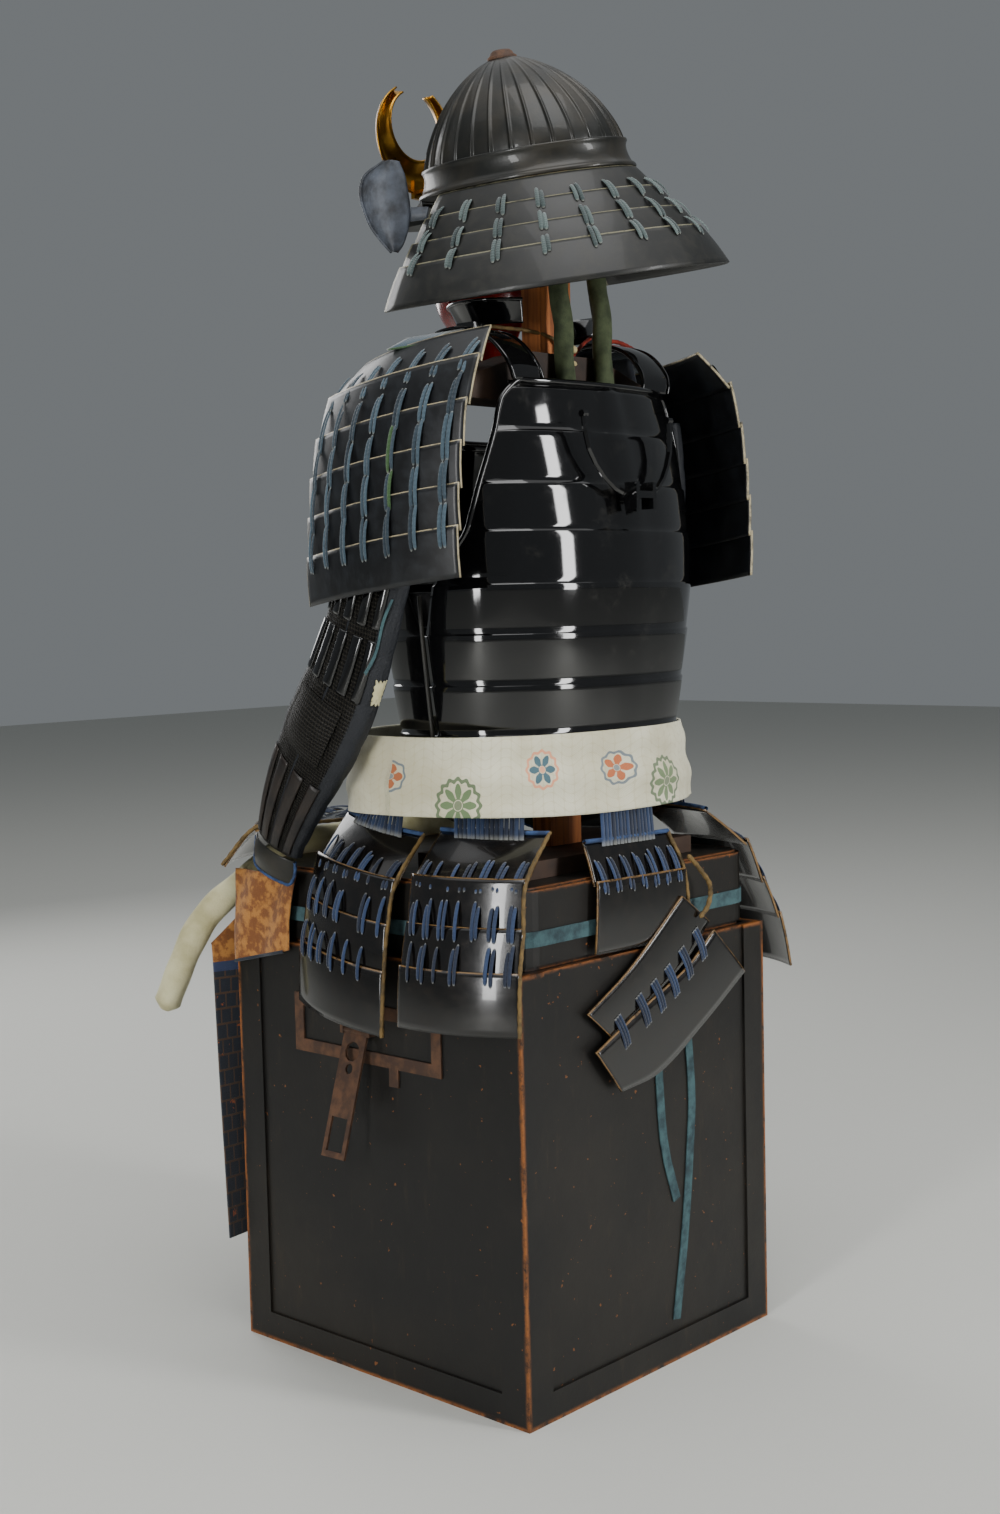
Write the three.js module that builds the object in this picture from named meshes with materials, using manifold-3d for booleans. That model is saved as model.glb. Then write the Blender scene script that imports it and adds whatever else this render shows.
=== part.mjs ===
// Samurai armour standing on its own armour box. Millimetres, +Z up, the wearer faces -Y
// and the wearer's left is +X. The origin is the middle of the box's underside.
import * as THREE from 'three';
import { mergeVertices } from 'three/addons/utils/BufferGeometryUtils.js';
import Module from 'manifold-3d';

const wasm = await Module();
wasm.setup();

// Driving dimensions
const seat = 0.3;                       // gap between touching pieces
const axisY = 75;                       // the armour stands this far behind the box's middle
const box = { width: 448, depth: 466.5, height: 500, wall: 14, stile: 40, proud: 3, plinth: 34 };
const lid = { inset: 10, height: 88, wall: 10, corner: 34, shadowGap: 5, shadowInset: 4 };
const post = { width: 55, depth: 28, y: 96, top: 1462 };
const foot = { width: 300, depth: 170, height: 20 };
const board = { width: 330, depth: 60, height: 24, bottom: 1150, drop: 26 };
const lame = { thick: 2.6, step: 4.8, tuck: 6, strip: 2.2, bite: 0.3 };
const clothWall = 2.5;
const plateWall = 2.4;

// Cuirass sections from the waist to the shoulders: half width, half depth, and how far the
// armhole has eaten round from the side seam at the back and at the front, in degrees.
const torso = [
  { z: 742, a: 180, b: 126, back: 0, front: 0 },
  { z: 752, a: 180.5, b: 127, back: 0, front: 0 },
  { z: 807, a: 187, b: 134, back: 0, front: 0 },
  { z: 864, a: 193, b: 141, back: 0, front: 0 },
  { z: 919, a: 197, b: 146, back: 4, front: 6 },
  { z: 977, a: 198, b: 143, back: 21, front: 33 },
  { z: 1029, a: 196, b: 135, back: 28, front: 45 },
  { z: 1087, a: 190, b: 122, back: 37, front: 50 },
  { z: 1112, a: 184, b: 116, back: 39, front: 52 },
  { z: 1142, a: 175, b: 108, back: 44, front: 54 },
];
const torsoPower = 2.5;
const lameSeams = [752, 807, 864, 919, 977, 1029, 1087];
const seamProud = 1.8;
const frontTop = 1094;
const backTop = 1142;

const sash = { x: 11, y: 50, low: 662, high: 752, wall: 3.2 };

const helmet = {
  y: 66, z: 1413.6, tilt: 10.2, halfWidth: 104, halfLength: 124, height: 118, ribs: 24, crownX: 4,
  crownY: -8,
};

// Neck guard profile in the helmet's own frame: how far out from the bowl's base, and height.
const neckRows = [
  { out: 12, up: -28.4 },
  { out: 36, up: -62 },
  { out: 58, up: -88 },
  { out: 78, up: -112 },
  { out: 106, up: -150 },
];

// Thigh tassets. Each hangs from (x, y), faces the angle, and runs outwards and down through
// its rows; lean is how far its back end hangs below its front end, in degrees.
const sideRows = [
  { out: 191, z: 648 }, { out: 236, z: 597 }, { out: 252, z: 548 },
  { out: 262, z: 497 }, { out: 270, z: 430 },
];
const cornerRows = [
  { out: 176, z: 645 }, { out: 240, z: 597 }, { out: 253, z: 545 },
  { out: 268, z: 500 }, { out: 276, z: 438 },
];
const farCornerRows = [
  { out: 176, z: 645 }, { out: 240, z: 597 }, { out: 264, z: 548 },
  { out: 288, z: 502 }, { out: 306, z: 440 },
];
const frontRows = [
  { out: 180, z: 656 }, { out: 240, z: 643 }, { out: 300, z: 638 },
  { out: 354, z: 632 }, { out: 396, z: 588 },
];
const backRows = [{ out: 212, z: 628 }, { out: 232, z: 580 }, { out: 236, z: 504 }];
const tassets = [
  { name: 'tasset_back', x: 12, y: 0, face: 90, lean: 1, top: 152, bottom: 170, rows: backRows,
    sagRadius: 2000 },
  { name: 'tasset_left_back', x: 0, y: 101, face: 15, lean: 0, top: 136, bottom: 152, rows: cornerRows },
  { name: 'tasset_left', x: 0, y: 5, face: -5, lean: 8, top: 138, bottom: 156, rows: sideRows },
  { name: 'tasset_front_left', x: 0, y: 75, face: -62, lean: 0, top: 138, bottom: 152, rows: frontRows },
  { name: 'tasset_front_right', x: 0, y: 75, face: -118, lean: 0, top: 138, bottom: 152, rows: frontRows },
  { name: 'tasset_right', x: 0, y: 5, face: 185, lean: 0, top: 138, bottom: 156, rows: sideRows },
  { name: 'tasset_right_back', x: 0, y: 101, face: 165, lean: 0, top: 136, bottom: 152, rows: farCornerRows,
    band: [0, 0.8] },
];

// Shoulder guard rows down from the top plate: distance out from the middle, and height.
const guardRows = [
  { out: 206, z: 1184 }, { out: 244, z: 1140 }, { out: 264, z: 1093 }, { out: 274, z: 1049 },
  { out: 279, z: 1005 }, { out: 282, z: 961 }, { out: 284, z: 912 },
];
const guard = { y: 80, width: 236, topWidth: 196, sag: 22, lean: 6.5, hang: { x: 145.7, z: 1203 } };

// The left sleeve's middle line from the shoulder to the wrist, with its half sizes.
const sleeveRows = [
  { x: 219, y: 62, z: 1118, side: 24, fore: 58 },
  { x: 232, y: 60, z: 1040, side: 25, fore: 56 },
  { x: 238, y: 50, z: 960, side: 25, fore: 54 },
  { x: 243, y: 32, z: 890, side: 25, fore: 52 },
  { x: 248, y: 4, z: 820, side: 26, fore: 56 },
  { x: 252, y: -34, z: 758, side: 26, fore: 58 },
  { x: 250, y: -72, z: 706, side: 24, fore: 50 },
  { x: 244, y: -106, z: 660, side: 21, fore: 42 },
  { x: 236, y: -132, z: 622, side: 18, fore: 36 },
  { x: 226, y: -146, z: 584, side: 18, fore: 38 },
];
const wristRow = 8;

const group = new THREE.Group();

const v3 = (x, y, z) => new THREE.Vector3(x, y, z);
const rad = THREE.MathUtils.degToRad;
const mix = THREE.MathUtils.lerp;

const finishes = {
  boxLacquer: { color: 0x1c1b19, roughness: 0.45, metalness: 0.1 },
  blackLacquer: { color: 0x0b0b0c, roughness: 0.12, metalness: 0.2 },
  iron: { color: 0x24251f, roughness: 0.62, metalness: 0.7 },
  brownIron: { color: 0x5c4238, roughness: 0.7, metalness: 0.6 },
  gilt: { color: 0xb58a2e, roughness: 0.3, metalness: 1.0 },
  redLacquer: { color: 0x7d0d07, roughness: 0.25, metalness: 0.0 },
  wood: { color: 0xa8642e, roughness: 0.7, metalness: 0.0 },
  darkWood: { color: 0x4a3424, roughness: 0.7, metalness: 0.0 },
  brocade: { color: 0xd6d0b4, roughness: 0.9, metalness: 0.0 },
  indigo: { color: 0x1a2230, roughness: 0.95, metalness: 0.0 },
  creamCloth: { color: 0xc9c49c, roughness: 0.9, metalness: 0.0 },
  goldCloth: { color: 0x84541f, roughness: 0.85, metalness: 0.0 },
  oliveCord: { color: 0x4a5430, roughness: 0.9, metalness: 0.0 },
  tealCord: { color: 0x3a5254, roughness: 0.85, metalness: 0.0 },
  leather: { color: 0x6c7078, roughness: 0.6, metalness: 0.1 },
  bone: { color: 0xc8b98a, roughness: 0.5, metalness: 0.0 },
};

function add(name, geometry, finish, parent = group) {
  const mesh = new THREE.Mesh(geometry, new THREE.MeshStandardMaterial(finishes[finish]));
  mesh.name = name;
  parent.add(mesh);
  return mesh;
}

// Signed volume of a closed mesh, negative where its faces point in
function volumeOf(vertices, triangles) {
  const total = triangles.reduce((sum, [i, j, k]) => {
    const cross = new THREE.Vector3().crossVectors(vertices[j], vertices[k]);
    return sum + vertices[i].dot(cross) / 6;
  }, 0);
  return total;
}

function meshOf(vertices, triangles) {
  const turned = volumeOf(vertices, triangles) < 0;
  const index = triangles.flatMap(([i, j, k]) => (turned ? [i, k, j] : [i, j, k]));
  const geometry = new THREE.BufferGeometry();
  const flat = vertices.flatMap((p) => [p.x, p.y, p.z]);
  geometry.setAttribute('position', new THREE.Float32BufferAttribute(flat, 3));
  geometry.setIndex(index);
  return geometry;
}

// A wall between an outer and an inner grid of points, closed round its edges. The grids run
// in rows; ring is true where each row closes on itself.
function wallBetween(outer, inner, ring = false) {
  const rows = outer.length;
  const columns = outer[0].length;
  const vertices = [...outer.flat(), ...inner.flat()];
  const out = (i, j) => i * columns + (j % columns);
  const into = (i, j) => rows * columns + i * columns + (j % columns);
  const triangles = [];
  const quad = (a, b, c, d) => triangles.push([a, b, c], [a, c, d]);
  const spans = ring ? columns : columns - 1;
  for (let j = 0; j < spans; j += 1) {
    for (let i = 0; i < rows - 1; i += 1) {
      quad(out(i, j), out(i, j + 1), out(i + 1, j + 1), out(i + 1, j));
      quad(into(i, j), into(i + 1, j), into(i + 1, j + 1), into(i, j + 1));
    }
    quad(out(0, j + 1), out(0, j), into(0, j), into(0, j + 1));
    const last = rows - 1;
    quad(out(last, j), out(last, j + 1), into(last, j + 1), into(last, j));
  }
  if (!ring) {
    const end = columns - 1;
    for (let i = 0; i < rows - 1; i += 1) {
      quad(out(i, 0), out(i + 1, 0), into(i + 1, 0), into(i, 0));
      quad(out(i + 1, end), out(i, end), into(i, end), into(i + 1, end));
    }
  }
  return meshOf(vertices, triangles);
}

// A solid skinned over closed rings of points, with flat fans over its two ends
function loft(rings) {
  const columns = rings[0].length;
  const vertices = rings.flat();
  const triangles = [];
  for (let i = 0; i < rings.length - 1; i += 1) {
    for (let j = 0; j < columns; j += 1) {
      const a = i * columns + j;
      const b = i * columns + ((j + 1) % columns);
      triangles.push([a, b, b + columns], [a, b + columns, a + columns]);
    }
  }
  const first = (rings.length - 1) * columns;
  for (let j = 1; j < columns - 1; j += 1) {
    triangles.push([0, j + 1, j], [first, first + j, first + j + 1]);
  }
  return meshOf(vertices, triangles);
}

// Boolean joins and cuts
function solidOf(geometry) {
  const plain = geometry.clone();
  plain.deleteAttribute('normal');
  plain.deleteAttribute('uv');
  const merged = mergeVertices(plain, 1e-4);
  return new wasm.Manifold(new wasm.Mesh({
    numProp: 3,
    vertProperties: new Float32Array(merged.attributes.position.array),
    triVerts: new Uint32Array(merged.index.array),
  }));
}

function geometryOf(solid) {
  const mesh = solid.getMesh();
  const geometry = new THREE.BufferGeometry();
  geometry.setAttribute('position', new THREE.BufferAttribute(new Float32Array(mesh.vertProperties), 3));
  geometry.setIndex(new THREE.BufferAttribute(new Uint32Array(mesh.triVerts), 1));
  return geometry;
}

function joined(geometries) {
  return geometryOf(geometries.map(solidOf).reduce((whole, piece) => whole.add(piece)));
}

function cut(geometry, ...tools) {
  return geometryOf(tools.map(solidOf).reduce((left, tool) => left.subtract(tool), solidOf(geometry)));
}

function block(x0, y0, z0, x1, y1, z1) {
  const geometry = new THREE.BoxGeometry(x1 - x0, y1 - y0, z1 - z0);
  geometry.translate((x0 + x1) / 2, (y0 + y1) / 2, (z0 + z1) / 2);
  return geometry;
}

function mirrored(geometry) {
  const copy = geometry.clone();
  copy.scale(-1, 1, 1);
  const index = copy.index.array;
  for (let i = 0; i < index.length; i += 3) {
    [index[i + 1], index[i + 2]] = [index[i + 2], index[i + 1]];
  }
  return copy;
}

// A plain tube along a smooth curve through the points
function tube(points, radius, sides, steps) {
  const curve = new THREE.CatmullRomCurve3(points.map((p) => v3(...p)), false, 'centripetal');
  const corner = (i) => [Math.cos((i / sides) * 2 * Math.PI), Math.sin((i / sides) * 2 * Math.PI)];
  const outline = Array.from({ length: sides }, (_, i) => (
    new THREE.Vector2(...corner(i)).multiplyScalar(radius)
  ));
  const shape = new THREE.Shape(outline);
  return new THREE.ExtrudeGeometry(shape, { steps, extrudePath: curve, bevelEnabled: false });
}

// A flat ribbon along hand-chosen points, each with the direction its face looks
function ribbon(points, face, width, thick) {
  const curve = new THREE.CatmullRomCurve3(points.map((p) => v3(...p)), false, 'centripetal');
  const steps = points.length * 2;
  const normal = v3(...face).normalize();
  const rings = Array.from({ length: steps + 1 }, (_, i) => {
    const at = curve.getPoint(i / steps);
    const along = curve.getTangent(i / steps);
    const across = new THREE.Vector3().crossVectors(along, normal).normalize().multiplyScalar(width / 2);
    const rise = normal.clone().multiplyScalar(thick / 2);
    return [
      at.clone().add(across).add(rise), at.clone().sub(across).add(rise),
      at.clone().sub(across).sub(rise), at.clone().add(across).sub(rise),
    ];
  });
  return loft(rings);
}

// Rounded section of the torso: half axes a and b, corners fuller than an ellipse
function roundedPoint(angle, a, b) {
  const power = 2 / torsoPower;
  const c = Math.cos(angle);
  const s = Math.sin(angle);
  return [a * Math.sign(c) * Math.abs(c) ** power, b * Math.sign(s) * Math.abs(s) ** power];
}

function sectionAt(rows, z, key) {
  const above = rows.findIndex((row) => row.z >= z);
  if (above <= 0) return rows[above < 0 ? rows.length - 1 : 0][key];
  const low = rows[above - 1];
  const high = rows[above];
  return mix(low[key], high[key], (z - low.z) / (high.z - low.z));
}

// Armour box
function makeBox() {
  const halfX = box.width / 2;
  const halfY = box.depth / 2;
  const faceX = halfX - box.proud;
  const faceY = halfY - box.proud;
  const parts = [block(-faceX, -faceY, 0, faceX, faceY, box.height)];
  for (const sx of [-1, 1]) {
    for (const sy of [-1, 1]) {
      const xs = [sx * (halfX - box.stile), sx * halfX].sort((p, q) => p - q);
      const ys = [sy * (halfY - box.stile), sy * halfY].sort((p, q) => p - q);
      parts.push(block(xs[0], ys[0], 0, xs[1], ys[1], box.height));
    }
  }
  parts.push(block(-halfX, -halfY, 0, halfX, halfY, box.plinth));
  const inX = faceX - box.wall;
  const inY = faceY - box.wall;
  const hollow = block(-inX, -inY, box.wall, inX, inY, box.height + 10);
  return cut(joined(parts), hollow);
}

function roundedSlab(halfX, halfY, corner, z0, z1) {
  const shape = new THREE.Shape();
  shape.moveTo(halfX, corner - halfY);
  shape.lineTo(halfX, halfY - corner);
  shape.absarc(halfX - corner, halfY - corner, corner, 0, Math.PI / 2);
  shape.absarc(corner - halfX, halfY - corner, corner, Math.PI / 2, Math.PI);
  shape.absarc(corner - halfX, corner - halfY, corner, Math.PI, Math.PI * 1.5);
  shape.absarc(halfX - corner, corner - halfY, corner, Math.PI * 1.5, Math.PI * 2);
  const options = { depth: z1 - z0, bevelEnabled: false, curveSegments: 3 };
  const geometry = new THREE.ExtrudeGeometry(shape, options);
  geometry.translate(0, 0, z0);
  return geometry;
}

function makeLid() {
  const halfX = box.width / 2 - lid.inset;
  const halfY = box.depth / 2 - lid.inset;
  const base = box.height + seat;
  const top = box.height + lid.height;
  const narrow = lid.shadowInset;
  const body = roundedSlab(halfX, halfY, lid.corner, base + lid.shadowGap, top);
  const skirtTop = base + lid.shadowGap + 1;
  const skirt = roundedSlab(halfX - narrow, halfY - narrow, lid.corner - narrow, base, skirtTop);
  const crown = roundedSlab(halfX - 5, halfY - 5, lid.corner - 5, top - 1, top + 2.5);
  const hollowInset = lid.wall + narrow;
  const hollow = roundedSlab(
    halfX - hollowInset, halfY - hollowInset, lid.corner - hollowInset, base - 1, top - lid.wall,
  );
  return cut(joined([body, skirt, crown]), hollow);
}

const lidTop = box.height + lid.height + 2.5;

add('box_body', makeBox(), 'boxLacquer');
add('box_lid', makeLid(), 'boxLacquer');

// Lock plate: an iron frame nailed on the left side of the box, open in the middle
const lock = {
  x: box.width / 2 - box.proud + seat, left: -131, right: 112, low: 372, high: 442, bar: 15, thick: 2,
};
function plateFromOutline(outline, holes, x, thick) {
  const shape = new THREE.Shape(outline.map(([y, z]) => new THREE.Vector2(y, z)));
  holes.forEach((hole) => shape.holes.push(hole));
  const geometry = new THREE.ExtrudeGeometry(shape, { depth: thick, bevelEnabled: false, curveSegments: 5 });
  const turn = new THREE.Matrix4().makeBasis(v3(0, 1, 0), v3(0, 0, 1), v3(1, 0, 0));
  geometry.applyMatrix4(turn);
  geometry.translate(x, 0, 0);
  return geometry;
}

const tab = { left: 28, right: 43, low: 351 };
const hinge = { y: -18, z: 410, width: 38, length: 146, thick: 3, open: 17, knuckle: 4 };
function makeLockPlate() {
  const outline = [
    [lock.left, lock.low], [tab.left, lock.low], [tab.left, tab.low], [tab.right, tab.low],
    [tab.right, lock.low], [lock.right, lock.low], [lock.right, lock.high], [lock.left, lock.high],
  ];
  const middle = new THREE.Path([
    new THREE.Vector2(lock.left + lock.bar, lock.low + lock.bar),
    new THREE.Vector2(lock.left + lock.bar, lock.high - lock.bar),
    new THREE.Vector2(lock.right - lock.bar, lock.high - lock.bar),
    new THREE.Vector2(lock.right - lock.bar, lock.low + lock.bar),
  ]);
  const frame = plateFromOutline(outline, [middle], lock.x, lock.thick);
  // Two ears under the top bar carry the hasp's pin
  const reach = hinge.width / 2 + seat;
  const pinX = lock.x + lock.thick + hinge.knuckle + 1;
  const ears = [-1, 1].map((side) => block(
    lock.x, hinge.y + side * reach - (side < 0 ? 5 : 0), hinge.z - hinge.knuckle,
    pinX + hinge.knuckle, hinge.y + side * reach + (side < 0 ? 0 : 5), lock.high - 2,
  ));
  return joined([frame, ...ears]);
}
add('lock_plate', makeLockPlate(), 'brownIron');

// Hasp: a long iron strap hanging from its pin, with a round opening and a square window
function makeHasp() {
  const pinX = lock.x + lock.thick + hinge.knuckle + 1;
  const half = hinge.width / 2;
  const outline = [
    [-half, -hinge.length], [half, -hinge.length], [half, 0], [-half, 0],
  ];
  const eye = new THREE.Path().absarc(0, -24, 11.5, 0, Math.PI * 2, true);
  const keyhole = new THREE.Path().absarc(0, -44, 6, 0, Math.PI * 2, true);
  const window = new THREE.Path([
    new THREE.Vector2(-half + 6, -hinge.length + 7), new THREE.Vector2(-half + 6, -hinge.length + 46),
    new THREE.Vector2(half - 6, -hinge.length + 46), new THREE.Vector2(half - 6, -hinge.length + 7),
  ]);
  const strap = plateFromOutline(outline, [eye, keyhole, window], -hinge.thick / 2, hinge.thick);
  const barrel = new THREE.CylinderGeometry(hinge.knuckle - 0.4, hinge.knuckle - 0.4, hinge.width, 10);
  const whole = joined([strap, barrel]);
  whole.applyMatrix4(new THREE.Matrix4().makeRotationY(-rad(hinge.open)));
  whole.translate(pinX, hinge.y, hinge.z);
  return whole;
}
add('hasp', makeHasp(), 'brownIron');

// Stand: a foot board on the lid, a square post and a shaped shoulder board
const footTop = lidTop + seat + foot.height;
add('stand_foot', block(
  -foot.width / 2, post.y - foot.depth / 2, lidTop + seat, foot.width / 2, post.y + foot.depth / 2, footTop,
), 'darkWood');
const chinRest = { half: 8, reach: -50.1, low: 1236, high: 1246 };
add('stand_post', joined([
  block(
    -post.width / 2, post.y - post.depth / 2, footTop + seat,
    post.width / 2, post.y + post.depth / 2, post.top,
  ),
  block(-chinRest.half, chinRest.reach, chinRest.low, chinRest.half, post.y, chinRest.high),
]), 'wood');

function makeShoulderBoard() {
  const half = board.width / 2;
  const mid = board.bottom + board.height;
  const shape = new THREE.Shape();
  shape.moveTo(-half, board.bottom - board.drop);
  shape.lineTo(half, board.bottom - board.drop);
  shape.lineTo(half, mid - board.drop);
  shape.quadraticCurveTo(half * 0.5, mid, 60, mid + 8);
  shape.lineTo(-60, mid + 8);
  shape.quadraticCurveTo(-half * 0.5, mid, -half, mid - board.drop);
  const options = { depth: board.depth, bevelEnabled: false, curveSegments: 4 };
  const geometry = new THREE.ExtrudeGeometry(shape, options);
  geometry.rotateX(Math.PI / 2);
  geometry.translate(0, post.y + board.depth / 2, 0);
  const slot = block(
    -post.width / 2 - seat, post.y - post.depth / 2 - seat, 1000,
    post.width / 2 + seat, post.y + post.depth / 2 + seat, 1300,
  );
  return cut(geometry, slot);
}
add('stand_shoulder_board', makeShoulderBoard(), 'darkWood');

// Helmet, modelled level about its own base centre, then leaning to the wearer's left
const helmetGroup = new THREE.Group();
helmetGroup.position.set(0, helmet.y, helmet.z);
helmetGroup.rotation.y = rad(helmet.tilt);
group.add(helmetGroup);

function bowlRadius(height) {
  const share = Math.min(Math.max(height / helmet.height, 0), 0.995);
  return (1 - share ** 1.5) ** 0.6;
}

function helmetPoint(angle, extra, height) {
  const scale = bowlRadius(height);
  const lean = (height / helmet.height) ** 2;
  const x = (helmet.halfWidth * scale + extra) * Math.cos(angle) + helmet.crownX * lean;
  const y = (helmet.halfLength * scale + extra) * Math.sin(angle) + helmet.crownY * lean;
  return v3(x, y, height);
}

// The bowl is plates joined by raised ribs, open at the crown inside a small turned ring
function makeBowl() {
  const columns = helmet.ribs * 2;
  const heights = [0, 45, 84, 108];
  const ribHeight = 2.6;
  const ringOf = (height, plain) => Array.from({ length: columns }, (_, j) => {
    const extra = plain ? -plateWall : (j % 2) * ribHeight;
    return helmetPoint((j / columns) * 2 * Math.PI, extra, height);
  });
  const crown = (radius, height) => Array.from({ length: columns }, (_, j) => {
    const angle = (j / columns) * 2 * Math.PI;
    const x = radius * Math.cos(angle) + helmet.crownX;
    return v3(x, radius * 1.1 * Math.sin(angle) + helmet.crownY, height);
  });
  const outer = heights.map((height) => ringOf(height, false));
  const inner = heights.map((height) => ringOf(height, true));
  outer.push(crown(14, 121));
  inner.push(crown(10, 114.5));
  return wallBetween(outer, inner, true);
}
add('helmet_bowl', makeBowl(), 'iron', helmetGroup);

// Helmet rest: a wooden block on the post, turned to the inside of the bowl
function makeHelmetRest() {
  const between = (low, high, share) => Array.from({ length: 16 }, (_, j) => {
    const point = (height) => helmetPoint((j / 16) * 2 * Math.PI, -plateWall - 0.6, height);
    return point(low).lerp(point(high), share);
  });
  const plug = loft([between(0, 45, 0.74), between(0, 45, 1), between(45, 84, 1), between(84, 108, 0.9)]);
  helmetGroup.updateMatrix();
  plug.applyMatrix4(helmetGroup.matrix);
  const socket = block(
    -post.width / 2 - seat, post.y - post.depth / 2 - seat, 1300,
    post.width / 2 + seat, post.y + post.depth / 2 + seat, post.top + seat,
  );
  return cut(plug, socket);
}
add('helmet_rest', makeHelmetRest(), 'wood');

// Band round the bowl's base, a touch wider, flaring at its lower edge
function makeBand() {
  const columns = 24;
  const profile = [
    { extra: 3.4, up: 3 }, { extra: 3.8, up: -6 }, { extra: 6, up: -18 }, { extra: 11.5, up: -28 },
  ];
  const ring = (row, inward) => Array.from({ length: columns }, (_, j) => {
    const angle = (j / columns) * 2 * Math.PI;
    const point = helmetPoint(angle, row.extra - inward, 0);
    point.z = row.up;
    return point;
  });
  const inner = profile.map((row) => ring(row, plateWall));
  inner[0].forEach((point) => { point.z = -seat; });
  profile[0].up = -seat;
  const outer = profile.map((row) => ring(row, 0));
  return wallBetween(outer, inner, true);
}
add('helmet_band', makeBand(), 'iron', helmetGroup);

// Neck guard: four flaring lames, each tucked up under the one above and laced to it
const neckSpan = { from: -16, to: 196 };
function neckPoint(angle, out, up) {
  const point = helmetPoint(angle, out, 0);
  point.z = up;
  return point;
}
function makeNeckGuard() {
  const columns = 14;
  const angleAt = (column) => rad(mix(neckSpan.from, neckSpan.to, column / columns));
  const tuck = 9;
  const lift = 4.6;
  const tops = neckRows.map((row, k) => (k ? { out: row.out + lift - tuck * 0.6, up: row.up + tuck } : row));
  const lamePlate = (k) => {
    const [top, low] = [tops[k], neckRows[k + 1]];
    const grid = (inward) => [top, low].map((row) => Array.from({ length: columns + 1 }, (_, j) => (
      neckPoint(angleAt(j), row.out - inward, row.up)
    )));
    return wallBetween(grid(0), grid(lame.thick));
  };
  const between = (from, to, share) => ({
    out: mix(from.out, to.out, share), up: mix(from.up, to.up, share),
  });
  const lace = (column, k) => {
    const ends = [between(tops[k - 1], neckRows[k], 0.35), between(tops[k], neckRows[k + 1], 0.28)];
    const face = (lifted) => ends.map((row) => [0.27, 0.73].map((side) => {
      const from = neckPoint(angleAt(column), row.out + lifted, row.up);
      return from.lerp(neckPoint(angleAt(column + 1), row.out + lifted, row.up), side);
    }));
    return wallBetween(face(lame.strip), face(-lame.bite));
  };
  const pieces = neckRows.slice(1).map((low, k) => lamePlate(k));
  for (let k = 1; k < neckRows.length - 1; k += 1) {
    for (let column = k % 2 ? 1 : 3; column < columns; column += 4) {
      pieces.push(lace(column, k));
    }
  }
  return joined(pieces);
}
add('neck_guard', makeNeckGuard(), 'iron', helmetGroup);

// Visor over the brow, the turned-back ends of the neck guard, and the gilt crest
function makeVisor() {
  const columns = 8;
  const angleAt = (j) => rad(mix(-142, -38, j / columns));
  const rowOf = (extra, up, inward) => Array.from({ length: columns + 1 }, (_, j) => {
    const side = Math.abs(j / columns - 0.5) * 2;
    const point = helmetPoint(angleAt(j), extra * (1 - side ** 3) + 13 - inward, 0);
    point.z = up;
    return point;
  });
  const outer = [rowOf(-2, -30, 0), rowOf(22, -40, 0), rowOf(46, -52, 0)];
  const inner = [rowOf(-2, -33, 0), rowOf(22, -43, 0), rowOf(46, -55, 0)];
  outer[0] = rowOf(-2, -28.5, 0);
  return wallBetween(outer, inner);
}
add('helmet_visor', makeVisor(), 'iron', helmetGroup);

// A turn-back is a leaf of leather-covered plate curling out from the temple. Its rows give
// the free edge and the root edge, level by level, and the stalk runs back to the neck guard.
const leafRows = [
  { free: [137, -25, 1407], root: [127, -11, 1406] }, { free: [151, -43, 1392], root: [124, -5, 1389] },
  { free: [155, -48, 1374], root: [123, -2, 1371] }, { free: [153, -45, 1353], root: [122, 0, 1351] },
  { free: [149, -37, 1332], root: [124, -1, 1331] }, { free: [142, -26, 1314], root: [128, -6, 1312] },
  { free: [137, -18, 1303], root: [132, -12, 1302] },
];
const leafThick = 2.6;
const stalk = [[[123, -1, 1352], [115.4, 21.5, 1352]], [[123.5, -1, 1338], [118.1, 21.0, 1338]]];
function makeTurnback() {
  const grid = (back) => leafRows.map((row) => [0, 0.3, 0.65, 1].map((share) => {
    const bow = 7 * Math.sin(Math.PI * share);
    const at = v3(...row.free).lerp(v3(...row.root), share);
    return at.add(v3(0.84, 0.54, 0).multiplyScalar(bow + back));
  }));
  const stem = (back) => stalk.map((row) => row.map((point) => (
    v3(...point).add(v3(back * 0.9, back * 0.3, 0))
  )));
  const whole = joined([wallBetween(grid(0), grid(leafThick)), wallBetween(stem(0), stem(leafThick))]);
  helmetGroup.updateMatrix();
  return whole.applyMatrix4(helmetGroup.matrix.clone().invert());
}
const turnback = makeTurnback();
add('turnback_left', turnback, 'leather', helmetGroup);
add('turnback_right', mirrored(turnback), 'leather', helmetGroup);

// Crest: a dished gilt crescent, horns up, on a flat tongue before the visor
const crest = { y: -110, z: 1468, radius: 67, hollow: 41, rise: 17, dish: 12, thick: 2.2, back: -63.4 };
function makeCrest() {
  const steps = 16;
  const grid = (back) => Array.from({ length: steps + 1 }, (_, i) => {
    const angle = rad(mix(118, 422, i / steps));
    const outer = [crest.radius * Math.cos(angle), crest.radius * Math.sin(angle)];
    const inner = [crest.hollow * Math.cos(angle), crest.hollow * Math.sin(angle) + crest.rise];
    return [0, 0.5, 1].map((share) => {
      const x = mix(outer[0], inner[0], share);
      const z = mix(outer[1], inner[1], share);
      const bow = crest.dish * Math.sin(Math.PI * share);
      return v3(x, crest.y - bow + back, crest.z + z);
    });
  });
  const dish = wallBetween(grid(0), grid(crest.thick));
  const tongue = block(-8, crest.y - 3, crest.z - 72, 8, crest.y + 3, crest.z - 50);
  const arm = block(-4, crest.y, crest.z - 66, 4, crest.back, crest.z - 62);
  return joined([dish, tongue, arm]);
}
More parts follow.
